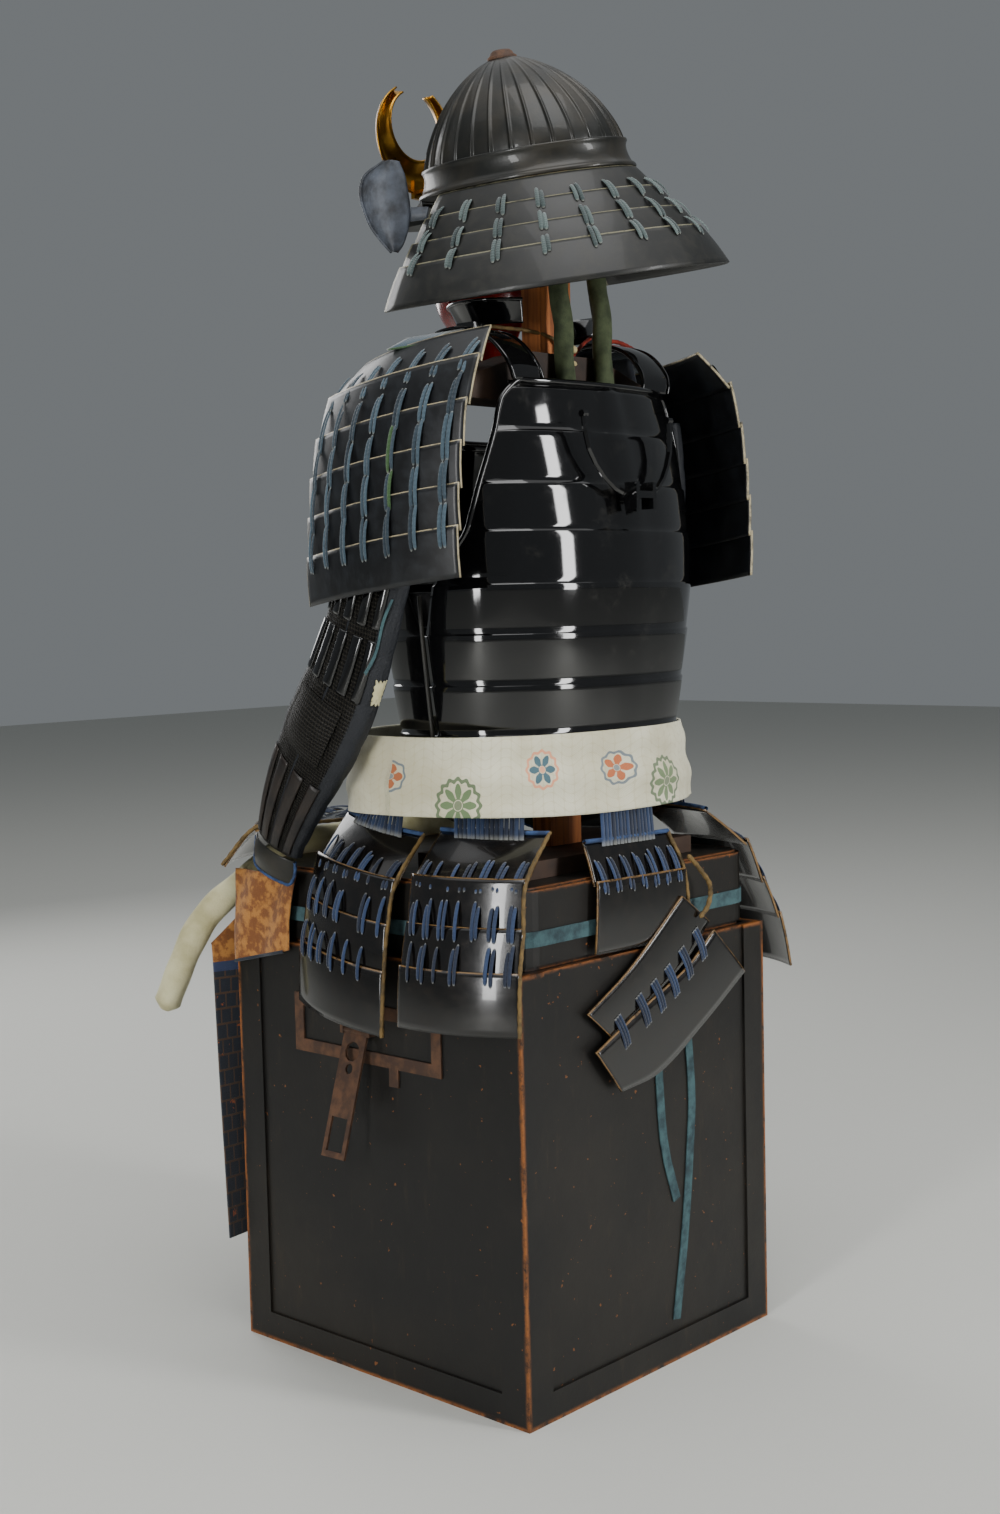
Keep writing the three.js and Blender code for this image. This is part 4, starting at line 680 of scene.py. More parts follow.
def makePlate(name, node, facing, top):
    side = 3 if facing > 0 else 4
    levels = [(742.0, 0.0)]
    seams = [z for z in cuirass["seams"] if z + 6 < top] + [top + 6]
    for low, high in zip([745] + seams[:-1], seams):
        for t in np.linspace(0.02, 1, 9):
            z = low + (high - 1.5 - low) * t
            if z < top - 1:
                levels.append((z, cuirass["proud"] * t + cuirass["bow"] * math.sin(math.pi * t)))
        if high < top:
            levels.append((high - 0.6, cuirass["proud"] * 0.75))
    levels += [(top - 3, 0.6), (top, 1.2)]
    levels = np.array(levels)
    z, proud = levels[:, :1], levels[:, 1:]
    clear = np.radians(at(torso, z, side)) + 0.0016
    share = np.linspace(0, 1, 121)[None, :]
    angle = (clear + (np.pi - 2 * clear) * share) * facing
    ridge = cuirass["ridge"] * np.exp(-((share - 0.5) / 0.035) ** 2)
    surface(name, torsoPoint(angle, z + 0 * share, proud, ridge), lacquerLook, inside=(0, 75, 950),
            wall=cuirass["wall"], replaces=[node])
    up = np.linspace(925, top - 8, 26)
    edge = np.radians(at(torso, up, side)) + 0.0016
    corner = np.radians(at(torso, top, side)) + 0.0016
    over = np.linspace(corner + 0.08, np.pi - corner - 0.08, 40)
    path = np.vstack([torsoPoint(edge * facing, up, 1.0), torsoPoint(over * facing, top + 0 * over, 1.0),
                      torsoPoint((np.pi - edge[::-1]) * facing, up[::-1], 1.0)])
    surface(name + "Rim", tubePoints(curveThrough(path[::2], 150), cuirass["rim"], 12), lacquerLook,
            wrap=True)


makePlate("cuirassBack", "cuirass_back", 1, cuirass["backTop"])
makePlate("cuirassFront", "cuirass_front", -1, cuirass["frontTop"])

# Shoulder straps: a padded band over a smooth path, its edges dipping by 3 (x / 24) ^ 2
strapPath = [(112, 164.8, 1142.5), (118, 161, 1164), (120, 135, 1192), (121, 96, 1205), (120, 56, 1203),
             (116, 20, 1184), (110, -8, 1150), (104, -22, 1095.3)]
strap = {"half": 24, "thick": 3.6, "dip": 3}


def makeStraps():
    path = curveThrough(strapPath, 70)
    along = np.gradient(path, axis=0)
    along /= np.linalg.norm(along, axis=1, keepdims=True)
    up = np.cross(along, np.array([1.0, 0, 0]))
    up /= np.linalg.norm(up, axis=1, keepdims=True)
    up *= np.sign(up[35, 2])
    across = np.linspace(-1, 1, 17)[None, :]
    side = path[:, None] + up[:, None] * strap["thick"] / 2
    points = np.broadcast_to(side, (70, 17, 3)).copy()
    points[..., 0] += across * strap["half"]
    fade = np.sin(np.pi * np.linspace(0, 1, 70)) ** 0.3
    points[..., 2] -= strap["dip"] * across ** 2 * fade[:, None]
    for name, put in (("strapLeft", points), ("strapRight", mirrorX(points))):
        node = "shoulder_strap_" + name[5:].lower()
        surface(name, put, lacquerLook, inside=(0, 75, 1000), wall=strap["thick"], replaces=[node])
        for k, edge in enumerate((0, -1)):
            rim = curveThrough(put[::3, edge], 90)
            surface(f"{name}Rim{k}", tubePoints(rim, 2.4, 10, up=(1, 0, 0)), lacquerLook, wrap=True)


makeStraps()


# Closes a stack of rings with a point at each end
def closed(rings):
    rings = np.asarray(rings, float)
    ends = [np.broadcast_to(r.mean(0), r.shape) for r in (rings[0], rings[-1])]
    return np.concatenate([ends[0][None], rings, ends[1][None]])


# Collar wings: radius = 92 + 20 sin(pi (0.1 + 0.8 share)) t ^ 1.3, t from foot to rim
wing = {"radius": 92, "flare": 20, "low": 1213, "high": 26, "wall": 3}


def makeWings():
    share = np.linspace(0, 1, 49)[None, :]
    t = np.linspace(0, 1, 10)[:, None]
    angle = np.radians(-48 + 88 * share)
    radius = wing["radius"] + wing["flare"] * np.sin(np.pi * (0.1 + 0.8 * share)) * t ** 1.3
    points = np.stack([radius * np.cos(angle), 72 + radius * 0.86 * np.sin(angle),
                       wing["low"] + wing["high"] * t + 0 * share], -1)
    for name, put in (("collarLeft", points), ("collarRight", mirrorX(points))):
        node = "collar_wing_" + name[6:].lower()
        surface(name, put, lacquerLook, inside=(0, 72, 1226), wall=wing["wall"], replaces=[node])
        rim = curveThrough(put[-1, ::4], 60)
        surface(name + "Rim", tubePoints(rim, 2.0, 10), lacquerLook, wrap=True)
        foot = np.array([(88.5, 60), (114, 60), (114, 84), (88.5, 84)])
        foot = foot * (1 if "Left" in name else -1, 1)
        block = np.array([[(x, y, z) for x, y in foot] for z in (1207.5, 1215.5)], float)
        surface(name + "Tab", closed(block), lacquerLook, wrap=True, inside=block.mean((0, 1)), smooth=False)


makeWings()
print("stage: cuirass")

# Waist sash: a padded band; u and v are millimetres. Soft folds run round it,
# radius + 1.6 sin(2 pi (2.1 v + 0.16 sin 2a)) with a rounded upper and lower edge.
sash = {"x": 11, "y": 50, "low": 662, "high": 752, "wall": 3.2, "fold": 1.6}


def makeSash():
    count, rows = 260, 40
    angle = np.linspace(0, 2 * np.pi, count, endpoint=False)[None, :]
    v = np.linspace(0, 1, rows)[:, None]
    z = sash["high"] - (sash["high"] - sash["low"]) * v
    marks = [662, 688, 724, 752]
    a = np.interp(z, marks, [221, 219, 214, 210])
    b = np.interp(z, marks, [167.5, 166, 161.5, 160])
    i = 3 * v
    wave = (i * 0.4 + 0.3) * np.sin(3 * angle + 0.6) + 0.4 * np.sin(7 * angle + i)
    calm = (angle > np.pi * 0.25) & (angle < np.pi * 0.75)
    fold = sash["fold"] * np.sin(2 * np.pi * (2.1 * v + 0.16 * np.sin(2 * angle) + 0.05 * np.sin(5 * angle)))
    soft = np.sin(np.pi * np.clip(v, 0.03, 0.97)) ** 0.35
    grow = np.where(calm, 0, wave) + fold * soft + 2.4 * soft - 1.6
    x, y = rounded(angle, a + grow, b + grow)
    points = np.stack([sash["x"] + x, sash["y"] + y, z + 3 * np.sin(angle * 2 + 1) * v], -1)
    u = np.interp(angle[0], [0, 2 * np.pi], [0, 1240])
    flat = np.stack([np.broadcast_to(u[None, :], (rows, count)),
                     np.broadcast_to(90 - 90 * v, (rows, count))], -1)
    made = surface("sashBand", points, sashLook, wrap=True, inside=(11, 50, 700), flat=flat[None],
                   wall=sash["wall"], replaces=["sash"])


makeSash()

# Tassets: seven plates of three or more lames hung from the waist on a band of laces
sideRows = [(191, 648), (236, 597), (252, 548), (262, 497), (270, 430)]
cornerRows = [(176, 645), (240, 597), (253, 545), (268, 500), (276, 438)]
farCornerRows = [(176, 645), (240, 597), (264, 548), (288, 502), (306, 440)]
frontRows = [(180, 656), (240, 643), (300, 638), (354, 632), (396, 588)]
backRows = [(212, 628), (232, 580), (236, 504)]
tassets = [
    # node, x, y, facing, lean, top and bottom width, rows, sag radius, band
    ("tasset_back", 12, 0, 90, 1, 152, 170, backRows, 2000, (-0.6, 0.6)),
    ("tasset_left_back", 0, 101, 15, 0, 136, 152, cornerRows, 210, (-0.6, 0.6)),
    ("tasset_left", 0, 5, -5, 8, 138, 156, sideRows, 210, (-0.6, 0.6)),
    ("tasset_front_left", 0, 75, -62, 0, 138, 152, frontRows, 210, (-0.6, 0.6)),
    ("tasset_front_right", 0, 75, -118, 0, 138, 152, frontRows, 210, (-0.6, 0.6)),
    ("tasset_right", 0, 5, 185, 0, 138, 156, sideRows, 210, (-0.6, 0.6)),
    ("tasset_right_back", 0, 101, 165, 0, 136, 152, farCornerRows, 210, (0, 0.8)),
]


# A point on the cuirass' lower edge, straight in from the given one
def underWaist(p):
    dx, dy = p[..., 0] / 178.8, (p[..., 1] - 75) / 124.8
    scale = (np.abs(dx) ** 2.5 + np.abs(dy) ** 2.5) ** 0.4
    return np.stack([p[..., 0] / scale, 75 + (p[..., 1] - 75) / scale, 741.7 + 0 * scale], -1)


def makeTasset(node, x, y, face, lean, wide, foot, rows, sag, band, seed):
    c, s0 = math.cos(math.radians(face)), math.sin(math.radians(face))

    def place(s, out, up, width):
        along = s * width / 2
        reach = out - along ** 2 / (2 * sag)
        reach, along, up = np.broadcast_arrays(reach, along, up)
        return np.stack([x + c * reach - s0 * along, y + s0 * reach + c * along,
                         up - along * math.tan(math.radians(lean))], -1)

    name = "".join(w.capitalize() if k else w for k, w in enumerate(node.split("_")))
    widths = np.linspace(wide, foot, len(rows))
    columns = np.linspace(-0.84, 0.84, 7)
    inside = (x + c * 120, y + s0 * 120, 560)
    lamed(name, rows, place, widths, tassetLameLook, tassetLaceLook, columns, inside, [node], tuck=6,
          laceUp=32, laceDown=16, strand=4.4, spread=5.0, seed=seed, missing=0.12)
    # the band of laces that hangs the plate
    count = 15
    s = np.linspace(band[0], band[1], count)[:, None, None]
    t = np.linspace(0, 1, 16)[None, :, None]
    a = np.linspace(-1, 1, 7)[None, None, :]
    rng = np.random.default_rng(seed + 40)
    half = (band[1] - band[0]) / count * 0.5
    across = s + a * half + 0 * t
    (r0, z0), (r1, z1) = rows[0], rows[1]
    top = underWaist(place(across, r0 + 0 * across, z0 + 0 * across, wide))
    low = place(across, r0 + (r1 - r0) * 0.14 + 0 * across, z0 + (z1 - z0) * 0.14 + 0 * across, wide)
    rise = 0.6 + 1.6 * np.sqrt(1 - a ** 2) + 2.0 * np.sin(np.pi * t) + (rng.random((count, 1, 1)) - 0.5) * 1.2
    points = top * (1 - t[..., None]) + low * t[..., None]
    points[..., 0] += c * rise
    points[..., 1] += s0 * rise
    tone = np.broadcast_to(rng.random((count, 1, 1)) * 0.9, points.shape[:3])
    flat = np.stack([tone, np.broadcast_to(t, points.shape[:3])], -1)
    surface(name + "Hanger", points, tassetLaceLook, inside=inside, flat=flat)
    # twisted rope along the rear edge, and a blue cord along the first lame's top
    top, low, normal = lameEdges(rows, 4.8, 6)
    rope = np.array([top[0] + normal[0] * 1.5] + [p for k in range(len(low))
                                                  for p in (low[k] + normal[k] * 2.6,)])
    edge = place(1 + 0 * rope[:, 0], rope[:, 0], rope[:, 1], np.linspace(wide, foot, len(rope)))
    surface(name + "Rope", tubePoints(curveThrough(edge, 120), 2.3, 10, up=(c, s0, 0), lobes=2, twist=0.5),
            goldCordLook, wrap=True)
    s = np.linspace(-1, 1, 40)
    head = rows[0][0] + 1.6 + 0 * s, rows[0][1] + 0.5 + 0 * s
    surface(name + "Head", tubePoints(place(s, *head, wide), 2.6, 10), blueCordLook, wrap=True)


for index, spec in enumerate(tassets):
    makeTasset(*spec, 10 + index)
print("stage: sash and tassets")

# Shoulder guards: six lames over each arm, the laces in seven columns
guardRows = [(206, 1184), (244, 1140), (264, 1093), (274, 1049), (279, 1005), (282, 961), (284, 912)]
guard = {"y": 80, "width": 236, "topWidth": 196, "sag": 22, "lean": 6.5}


def makeGuards():
    slope = math.tan(math.radians(guard["lean"]))
    for name, side in (("guardLeft", 1), ("guardRight", -1)):
        def place(s, out, up, width):
            along = s * width / 2
            reach, along, up = np.broadcast_arrays(side * (out - guard["sag"] * s ** 2), along, up)
            return np.stack([reach, guard["y"] + along, up + along * slope], -1)

        widths = np.array([guard["topWidth"]] + [guard["width"]] * 6, float)
        lamed(name, guardRows, place, widths, guardLameLook, guardLaceLook, np.linspace(-0.86, 0.86, 7),
              (side * 120, 80, 1050), ["shoulder_guard_" + name[5:].lower()], laceUp=35,
              laceDown=20, strand=4.4, spread=5.0, seed=31 + side)
        hung = np.array([[(145.7, y, 1203), (178, y, 1196), (210, y, 1181)] for y in np.linspace(44, 104, 9)])
        hung = np.stack([hung[..., 0] * side, hung[..., 1], hung[..., 2]], -1)
        surface(name + "Hanger", hung, guardLaceLook, inside=(side * 150, 80, 1100), wall=1.8)


makeGuards()

# Turnbacks of the helmet, in the part's frame; the right one is the left one's mirror image in
# the helmet's own frame. Each bows by 7 sin(pi share) between its root and its free edge.
leafRows = np.array([[(137, -25, 1407), (127, -11, 1406)], [(151, -43, 1392), (124, -5, 1389)],
                     [(155, -48, 1374), (123, -2, 1371)], [(153, -45, 1353), (122, 0, 1351)],
                     [(149, -37, 1332), (124, -1, 1331)], [(142, -26, 1314), (128, -6, 1312)],
                     [(137, -18, 1303), (132, -12, 1302)]], float)


# The opposite of helmetPlace
def helmetInverse(p):
    a = math.radians(helmet["lean"])
    x, z = p[..., 0], p[..., 2] - helmet["z"]
    return np.stack([x * math.cos(a) - z * math.sin(a), p[..., 1] - helmet["y"],
                     x * math.sin(a) + z * math.cos(a)], -1)


def makeTurnbacks():
    free = curveThrough(leafRows[:, 0], 40)
    root = curveThrough(leafRows[:, 1], 40)
    share = np.linspace(0, 1, 16)[None, :, None]
    points = free[:, None] * (1 - share) + root[:, None] * share
    bow = 7 * np.sin(np.pi * share) + 2.6
    points = points + bow * np.array([0.84, 0.54, 0])
    stalk = np.array([[(115.4, 21.5, 1352), (118.1, 21, 1338)], [(124, 2, 1353), (126, 2, 1337)]], float)
    stem = stalk[0][:, None] * (1 - share) + stalk[1][:, None] * share
    for name, side in (("turnbackLeft", 1), ("turnbackRight", -1)):
        def turned(p):
            return p if side > 0 else helmetPlace(mirrorX(helmetInverse(p)))

        surface(name, turned(points), leatherLook, inside=(0, 20, 1350), wall=2.6,
                replaces=["turnback_" + name[8:].lower()])
        edge = curveThrough(turned(points[:, 0])[::3], 70)
        surface(name + "Rim", tubePoints(edge, 1.8, 8, up=(1, 0, 0)), leatherLook, wrap=True)
        surface(name + "Stem", turned(stem), leatherLook, inside=(0, 20, 1350), wall=2.4)


makeTurnbacks()

# Crest: a dished crescent; the bow is 12 sin(pi share) between the outer and the inner arc
crest = {"y": -110, "z": 1468, "radius": 67, "hollow": 41, "rise": 17, "dish": 12, "thick": 2.2}


def makeCrest():
    angle = np.radians(np.linspace(118, 422, 90))[:, None]
    share = np.linspace(0, 1, 13)[None, :]
    x = crest["radius"] * np.cos(angle) * (1 - share) + crest["hollow"] * np.cos(angle) * share
    z = (crest["radius"] * np.sin(angle) * (1 - share)
         + (crest["hollow"] * np.sin(angle) + crest["rise"]) * share)
    points = np.stack([x, crest["y"] - crest["dish"] * np.sin(np.pi * share) + 0 * x, crest["z"] + z], -1)
    surface("crestDish", points, giltLook, inside=(0, 200, 1468), wall=crest["thick"], replaces=["crest"])
    for name, half, y0, y1, z0, z1 in (("crestTongue", 8, -113, -107, 1396, 1418),
                                       ("crestArm", 4, -110, -63.4, 1402, 1406)):
        ring = [(-half, y0), (half, y0), (half, y1), (-half, y1)]
        block = np.array([[(px, py, pz) for px, py in ring] for pz in (z0, z1)], float)
        surface(name, closed(block), giltLook, wrap=True, inside=block.mean((0, 1)), smooth=False)


makeCrest()

# Face guard: a plain half mask; size = 0.98, 1, 0.9, 0.68 from its top to the chin
mask = {"y": 18, "halfWidth": 72, "depth": 78, "wall": 2.4}


def makeMask():
    z = np.linspace(1300, 1216, 36)[:, None]
    size = curveThrough([(1300, 0.98, 0), (1270, 1, 0), (1240, 0.9, 0), (1216, 0.68, 0)], 60)
    size = np.interp(-z, -size[:, 0], size[:, 1])
    share = np.linspace(0, 1, 61)[None, :]
    angle = np.radians(192 + 156 * share)
    chin = 6 * np.exp(-((share - 0.5) * 12 / 1.6) ** 2) * np.clip((1255 - z) / 20, 0, 1)
    points = np.stack([mask["halfWidth"] * size * np.cos(angle),
                       mask["y"] + (mask["depth"] * size + chin) * np.sin(angle), z + 0 * angle], -1)
    surface("faceGuard", points, redLook, inside=(0, 18, 1260), wall=mask["wall"], replaces=["face_guard"])


makeMask()
print("stage: shoulder guards and helmet fittings")

# Sleeves: padded cloth tubes, open at both ends, with iron sewn on their outer side.
# A point is the row's centre plus (side + lift) cos a sideways and (fore + lift) sin a fore.
sleeveRows = np.array([(219, 62, 1118, 24, 58), (232, 60, 1040, 25, 56), (238, 50, 960, 25, 54),
                       (243, 32, 890, 25, 52), (248, 4, 820, 26, 56), (252, -34, 758, 26, 58),
                       (250, -72, 706, 24, 50), (244, -106, 660, 21, 42), (236, -132, 622, 18, 36),
                       (226, -146, 584, 18, 38)], float)
sleeve = {"wall": 2.4, "wrist": 8, "quilt": 1.4}


def sleevePoint(t, angle, lift):
    t, angle, lift = np.broadcast_arrays(t * 1.0, angle, lift)
    here = smoothRows(sleeveRows, t)
    fall = smoothRows(sleeveRows, t + 0.04)[..., 1:3] - smoothRows(sleeveRows, t - 0.04)[..., 1:3]
    fall = fall / np.linalg.norm(fall, axis=-1, keepdims=True)
    fore = (here[..., 4] + lift) * np.sin(angle)
    return np.stack([here[..., 0] + (here[..., 3] + lift) * np.cos(angle),
                     here[..., 1] + fall[..., 1] * fore, here[..., 2] - fall[..., 0] * fore], -1)


def makeSleeves():
    t = np.linspace(0, sleeve["wrist"], 200)[:, None]
    angle = np.linspace(0, 2 * np.pi, 80, endpoint=False)[None, :]
    quilt = sleeve["quilt"] * (np.abs(np.sin(angle * 6)) ** 0.6 * np.abs(np.sin(t * 4.6)) ** 0.6 - 0.6)
    tube = sleevePoint(t, angle, quilt)
    flat = np.stack([np.broadcast_to(angle / (2 * np.pi) * 270, tube.shape[:2]),
                     np.broadcast_to(t * 68, tube.shape[:2])], -1)
    tie = np.array([[(194.6, y, 1124 - 26 * (1 - k)) if k < 1 else (162, y, 1194.8) for k in (0, 1, 2)]
                    for y in np.linspace(10, 92, 9)])
    tie[:, 0, 0] = 196.4
    a = np.linspace(-1, 1, 9)[None, :]
    for side, end in ((1, "Left"), (-1, "Right")):
        def put(p):
            return p if side > 0 else mirrorX(p)

        node = end.lower()
        body = surface("sleeve" + end, put(tube), mailLook, wrap=True, inside=(side * 240, 0, 860),
                       flat=flat[None], wall=sleeve["wall"], replaces=["sleeve_" + node])
        surface("sleeveTie" + end, put(tie), indigoLook, wall=1.6)
        # splints: half-round strips, in two rows on the upper arm and one on the forearm
        for label, rows, spread, count, look, nodeName in (
                ("armSplints", ((2.2, 3.08), (3.24, 4.12)), 58, 5, lacquerLook, "arm_splints_"),
                ("forearmSplints", ((5.75, 7.9),), 62, 4, splintLook, "forearm_splints_")):
            strips = []
            for low, high in rows:
                for k in range(count):
                    middle = math.radians(-spread + 2 * spread * (k + 0.5) / count)
                    halfTurn = math.radians(spread / count * 0.66)
                    v = np.linspace(0, 1, 22)[:, None]
                    lift = 1.4 + 2.6 * np.sqrt(1 - a ** 2) * np.sin(np.pi * np.clip(v, 0.02, 0.98)) ** 0.25
                    strips.append(sleevePoint(low + (high - low) * v, middle + halfTurn * a, lift))
            surface(label + end, put(np.array(strips)), look, inside=(side * 235, 0, 860),
                    wall=1.2, replaces=[nodeName + node])
        # elbow patch: a square of mail, domed as sin u sin v
        u, v = np.linspace(0, 1, 30)[None, :], np.linspace(0, 1, 30)[:, None]
        dome = 3.1 + 7 * np.sin(np.pi * u) * np.sin(np.pi * v)
        patch = sleevePoint(4.35 + 1.05 * v, np.radians(68 * u - 34), dome)
        spread = np.stack([u * 60 - 30 + 0 * v, v * 66 + 0 * u], -1)
        surface("elbowPlate" + end, put(patch), mailLook, inside=(side * 235, 0, 800), flat=spread[None],
                wall=1.2, replaces=["elbow_plate_" + node])
        share = np.linspace(-1, 1, 33)[None, :]
        down = np.linspace(0, 1, 26)[:, None]
        span = np.radians(70) * (1 - 0.25 * down ** 3)
        hand = sleevePoint(8.118 + 0.88 * down, span * share,
                           3.1 + 3.0 * np.sin(np.pi * down) * (1 - share ** 2))
        surface("handGuard" + end, put(hand), ironLook, inside=(side * 225, -120, 610),
                wall=1.6, replaces=["hand_guard_" + node])
        edge = np.vstack([hand[1:-1, 0], hand[-1, 1:-1:2], hand[-2:0:-1, -1]])
        surface("handLacing" + end, tubePoints(curveThrough(put(edge[::2]), 110), 2.0, 8, lobes=2, twist=0.8),
                blueCordLook, wrap=True)


splintLook = plainMat("forearmIron", (40, 32, 27), (24, 21, 20), 0.4, 40, 0.2, 0.5, 200)
makeSleeves()


# The left sleeve's torn fore edge shows its cream lining, and a teal ribbon hangs inside the elbow
def makeTear():
    u, v = np.linspace(-1, 1, 24)[None, :], np.linspace(-1, 1, 24)[:, None]
    ragged = 1 + 0.12 * np.sin(9 * u + 2 * v) + 0.1 * np.sin(13 * v)
    torn = sleevePoint(3.9 + 0.16 * v * ragged, np.radians(-84 + 13 * u * ragged), 1.6 + 0.6 * (1 - u * u))
    surface("sleeveTear", torn, creamLook, inside=(240, 0, 830), wall=0.8)
    across, down = np.linspace(-1, 1, 7)[None, :], np.linspace(0, 1, 60)[:, None]
    middle = -62 + 14 * down + 3 * np.sin(7 * down)
    band = sleevePoint(2.6 + 1.15 * down, np.radians(middle + 2.4 * across), 3 + 1.2 * np.sin(9 * down))
    surface("sleeveRibbon", band, tealLook, inside=(235, 0, 900), wall=0.8)


makeTear()
print("stage: sleeves")

# Thigh apron: a padded roll with soft creases, and two panels of lined cloth before the box
beltPath = [(0, -228, 604.6), (75, -229, 606.1), (130, -240, 598), (190, -249, 566), (243, -278, 512),
            (280, -310, 407)]
belt = {"radius": 17, "crease": 0.07}
panel = {"inner": 8, "outer": 236, "low": 118, "front": -256, "wall": 2.6, "below": 5, "fold": 5}


def makeApron():
    path = curveThrough([(-x, y, z) for x, y, z in beltPath[:0:-1]] + beltPath, 240)
    travel = np.linspace(0, 1, 240)
    ends = np.clip(np.sin(np.pi * np.clip(travel, 0.0015, 0.9985)) * 26, 0, 1) ** 0.5
    wrinkle = 1 + belt["crease"] * (np.sin(travel * 95) * 0.4 + np.sin(travel * 37 + 1) * 0.4)
    roll = surface("apronBelt", tubePoints(path, belt["radius"], 28, up=(0, 1, 0), lobes=3, twist=0.02,
                                           depth=0.05, taper=ends * wrinkle),
                   creamLook, wrap=True, replaces=["apron_belt"])
    marks = np.array(beltPath, float)
    x = np.linspace(panel["inner"], panel["outer"], 110)[None, :]
    down = np.linspace(0, 1, 130)[:, None]
    beltY, beltZ = (np.interp(x, marks[:, 0], marks[:, k]) for k in (1, 2))
    steep = np.hypot(1, np.gradient(beltZ[0], x[0]))[None, :]
    z = (beltZ - (belt["radius"] + panel["below"]) * steep) * (1 - down) + panel["low"] * down
    fold = panel["fold"] * np.sin(x / 21 + 2 * down) * np.sin(np.pi * np.minimum(down, 0.8))
    fine = 0.9 * np.sin(x / 7.3 + 5 * down) * np.sin(np.pi * np.clip(down, 0.05, 0.95))
    y = (beltY + 1.5) * (1 - np.sqrt(down)) + panel["front"] * np.sqrt(down) + fold + fine
    points = np.stack([x + 0 * z, y + panel["wall"], z], -1)
    for name, put in (("apronLeft", points), ("apronRight", mirrorX(points))):
        made = surface(name, put, apronLook, inside=(0, -400, 350), wall=panel["wall"],
                       replaces=["apron_" + name[5:].lower()])


makeApron()

# A flap of brocade turned over the box's front left corner, bound in blue along its foot
flap = {"front": -238, "back": -122, "top": 582, "lowFront": 470, "lowBack": 492, "fold": 3}


def makeFlap():
    across = np.linspace(0, 1, 50)[None, :]
    down = np.linspace(0, 1, 44)[:, None]
    y = flap["front"] + (flap["back"] - flap["front"]) * across + 10 * down * (1 - 2 * across)
    low = flap["lowFront"] + (flap["lowBack"] - flap["lowFront"]) * across
    z = flap["top"] * (1 - down) + low * down
    x = 220 + 10 * np.clip(down * 1.6, 0, 1) ** 0.7 + flap["fold"] * np.sin(y / 11 + 3 * down)
    points = np.stack([x, y + 0 * x, z + 0 * x], -1)
    made = surface("apronFlap", points, apronLook, inside=(0, -180, 530), wall=1.6)
    foot = curveThrough(points[-1, ::5], 60)
    surface("apronFlapBinding", tubePoints(foot, 2.0, 10), indigoLook, wrap=True)


makeFlap()
print("stage: apron")

# The back tasset's two lower lames, hanging askew behind the box from broken laces
loose = [
    # y, upper edge, lower edge
    (236.9, [(-55, 553), (40, 485), (119, 443)], [(-107, 516), (-49, 470), (79, 410)]),
    (240.4, [(-111, 506), (-57, 469), (30, 434), (110, 399)],
     [(-173, 446), (-90, 398), (-6, 356), (67, 346)]),
]


def makeLoose():
    t = np.linspace(0, 1, 10)[:, None, None]
    for k, (y, top, low) in enumerate(loose):
        high, foot = (curveThrough([(x, y, z) for x, z in edge], 60) for edge in (top, low))
        points = high[None] * (1 - t) + foot[None] * t
        points[..., 1] += 2.6 + 0.8 * np.sin(np.pi * t[..., 0])
        surface(f"looseLame{k}", points, tassetLameLook, inside=(0, 0, 450), wall=2.6,
                replaces=["tasset_back_loose"] if k == 0 else [])
    starts = np.array([(-84, 496), (-30, 461), (24, 436), (62, 418), (-57, 478), (-4, 448)], float)
    t = np.linspace(0, 1, 14)[None, None, :, None]
    a = np.linspace(-1, 1, 7)[None, None, None, :]
    offset = np.array([-4.4, 0, 4.4])[None, :, None, None]
    head = starts + np.array([8, 15])
    foot = starts + np.array([-7, -22])
    hx, hz, fx, fz = (p[:, None, None, None] for p in (head[:, 0], head[:, 1], foot[:, 0], foot[:, 1]))
    across = offset + a * 1.9
    x = hx * (1 - t) + fx * t + across * 0.85
    z = hz * (1 - t) + fz * t - across * 0.5
    y = 239.6 + 3.5 * t + 1.4 * np.sqrt(1 - a ** 2) + 2.6 * np.sin(np.pi * t) + 0 * x
    points = np.stack([x, y, z], -1).reshape(-1, 14, 7, 3)
    tone = np.random.default_rng(8).random((len(points), 1, 1)) * 0.9
    flat = np.stack([np.broadcast_to(tone, points.shape[:3]),
                     np.broadcast_to(t.reshape(1, 14, 1), points.shape[:3])], -1)
    surface("looseLaces", points, tassetLaceLook, inside=(0, 0, 450), flat=flat)


makeLoose()

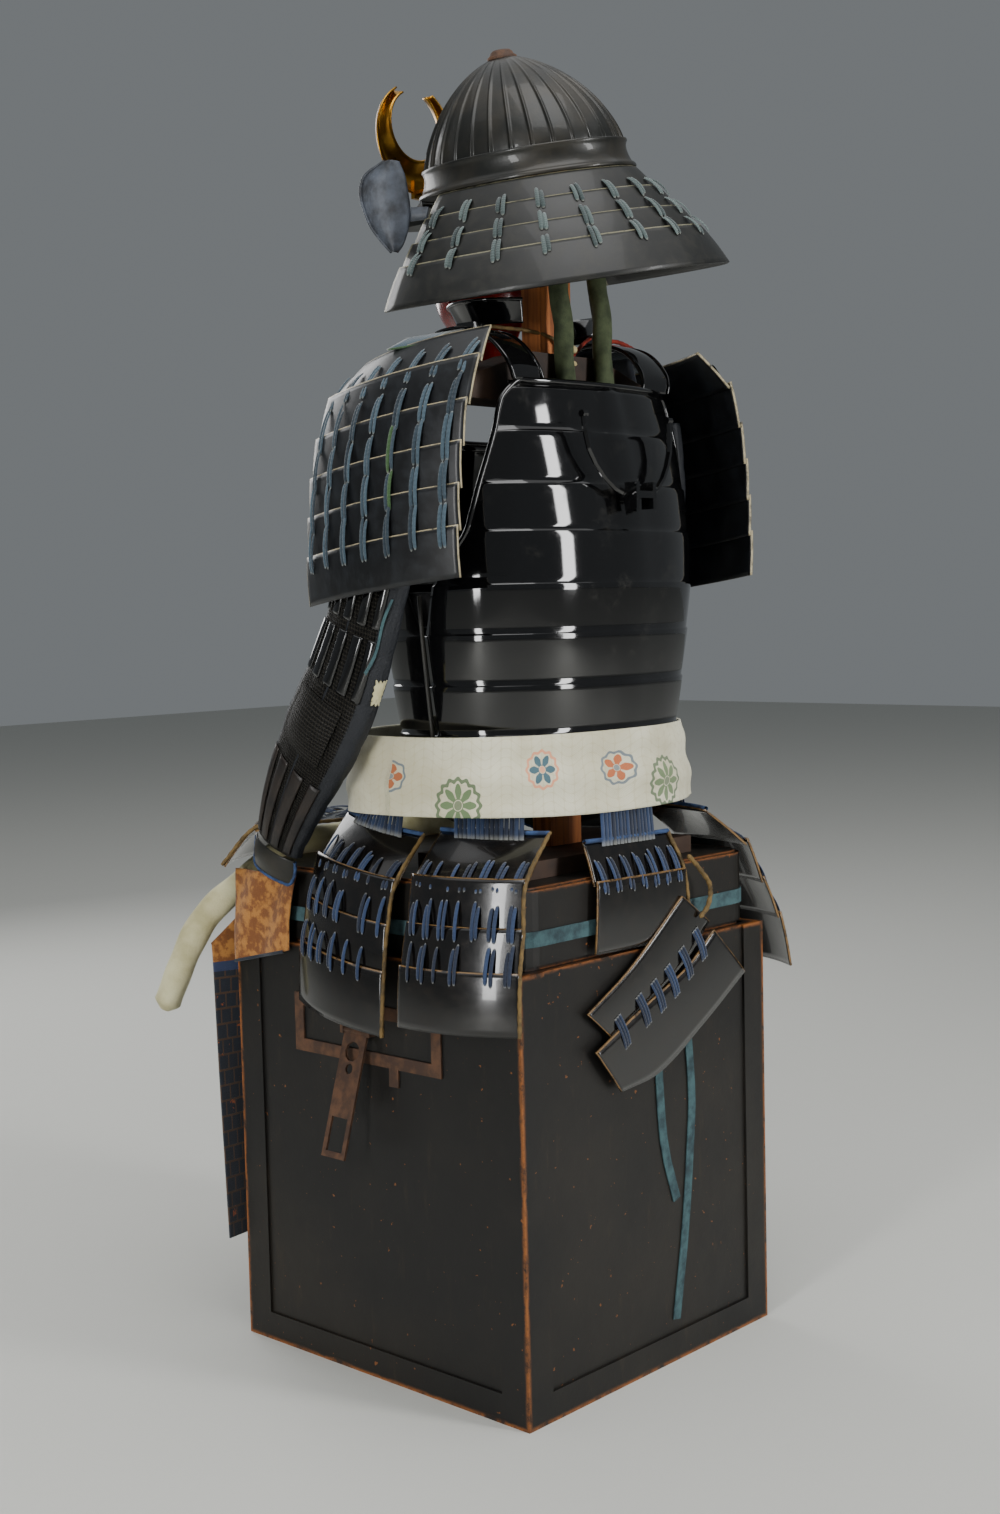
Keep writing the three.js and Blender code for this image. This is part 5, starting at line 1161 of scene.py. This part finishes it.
# Two thick olive cords, three strands laid together, hanging from the helmet down the back
cordRoutes = {
    "olive_cord_left": [(18, 122.1, 1374), (19, 128, 1320), (20, 134, 1255), (19, 139, 1190), (20, 141, 1120),
                        (22, 143, 1055), (20, 141, 1000)],
    "olive_cord_right": [(-14, 122.7, 1374), (-38, 128, 1320), (-51, 134, 1255), (-50, 139, 1190),
                         (-49, 141, 1120), (-46, 143, 1055), (-44, 141, 1000)],
}


def makeCords():
    for node, route in cordRoutes.items():
        path = curveThrough(route, 260)
        ends = np.clip(np.sin(np.pi * np.clip(np.linspace(0, 1, 260), 0.001, 0.999)) * 40, 0, 1) ** 0.5
        points = tubePoints(path, 11.2, 24, up=(1, 0, 0), lobes=3, twist=0.085, depth=0.1, taper=ends)
        name = "oliveCord" + node[11:].capitalize()
        rope = surface(name, points, oliveLook, wrap=True, replaces=[node])


makeCords()


# Bone toggles with their cord loops, a red cord on the far shoulder, and the short gold rope
# that once held the loose lames; each is a given path with a radius
trim = [
    # name, path, radius, look, lobes
    ("toggleUpper", [(3, 121, 1190), (-8, 124, 1191), (-19, 122, 1190)], 4.5, "bone", 0),
    ("toggleLower", [(0, 120, 1173), (-10, 123, 1174), (-21, 121, 1173)], 4.5, "bone", 0),
    ("toggleLoop", [(-8, 119, 1190), (16, 112, 1204), (44, 100, 1210), (72, 88, 1212), (94, 80, 1214)],
     2.2, "gold", 2),
    ("toggleTie", [(-10, 118, 1174), (-40, 108, 1192), (-68, 96, 1205), (-94, 84, 1214)], 2.2, "red", 2),
    ("redCord", [(-108, 92, 1210), (-135, 92, 1212), (-165, 88, 1208), (-190, 84, 1202), (-208, 80, 1193)],
     2.6, "red", 2),
    ("goldRope", [(-68, 238, 600), (-86, 243, 580), (-100, 246, 560), (-96, 246, 538), (-82, 244, 524)],
     2.8, "gold", 2),
]


def makeTrim():
    looks = {"bone": boneLook, "gold": goldCordLook, "red": redCordLook}
    for name, path, radius, look, lobes in trim:
        ends = np.clip(np.sin(np.pi * np.clip(np.linspace(0, 1, 70), 0.002, 0.998)) * 12, 0, 1) ** 0.5
        surface(name, tubePoints(curveThrough(path, 70), radius, 12, lobes=lobes, twist=0.6, taper=ends),
                looks[look], wrap=True)


makeTrim()
print("stage: cords")
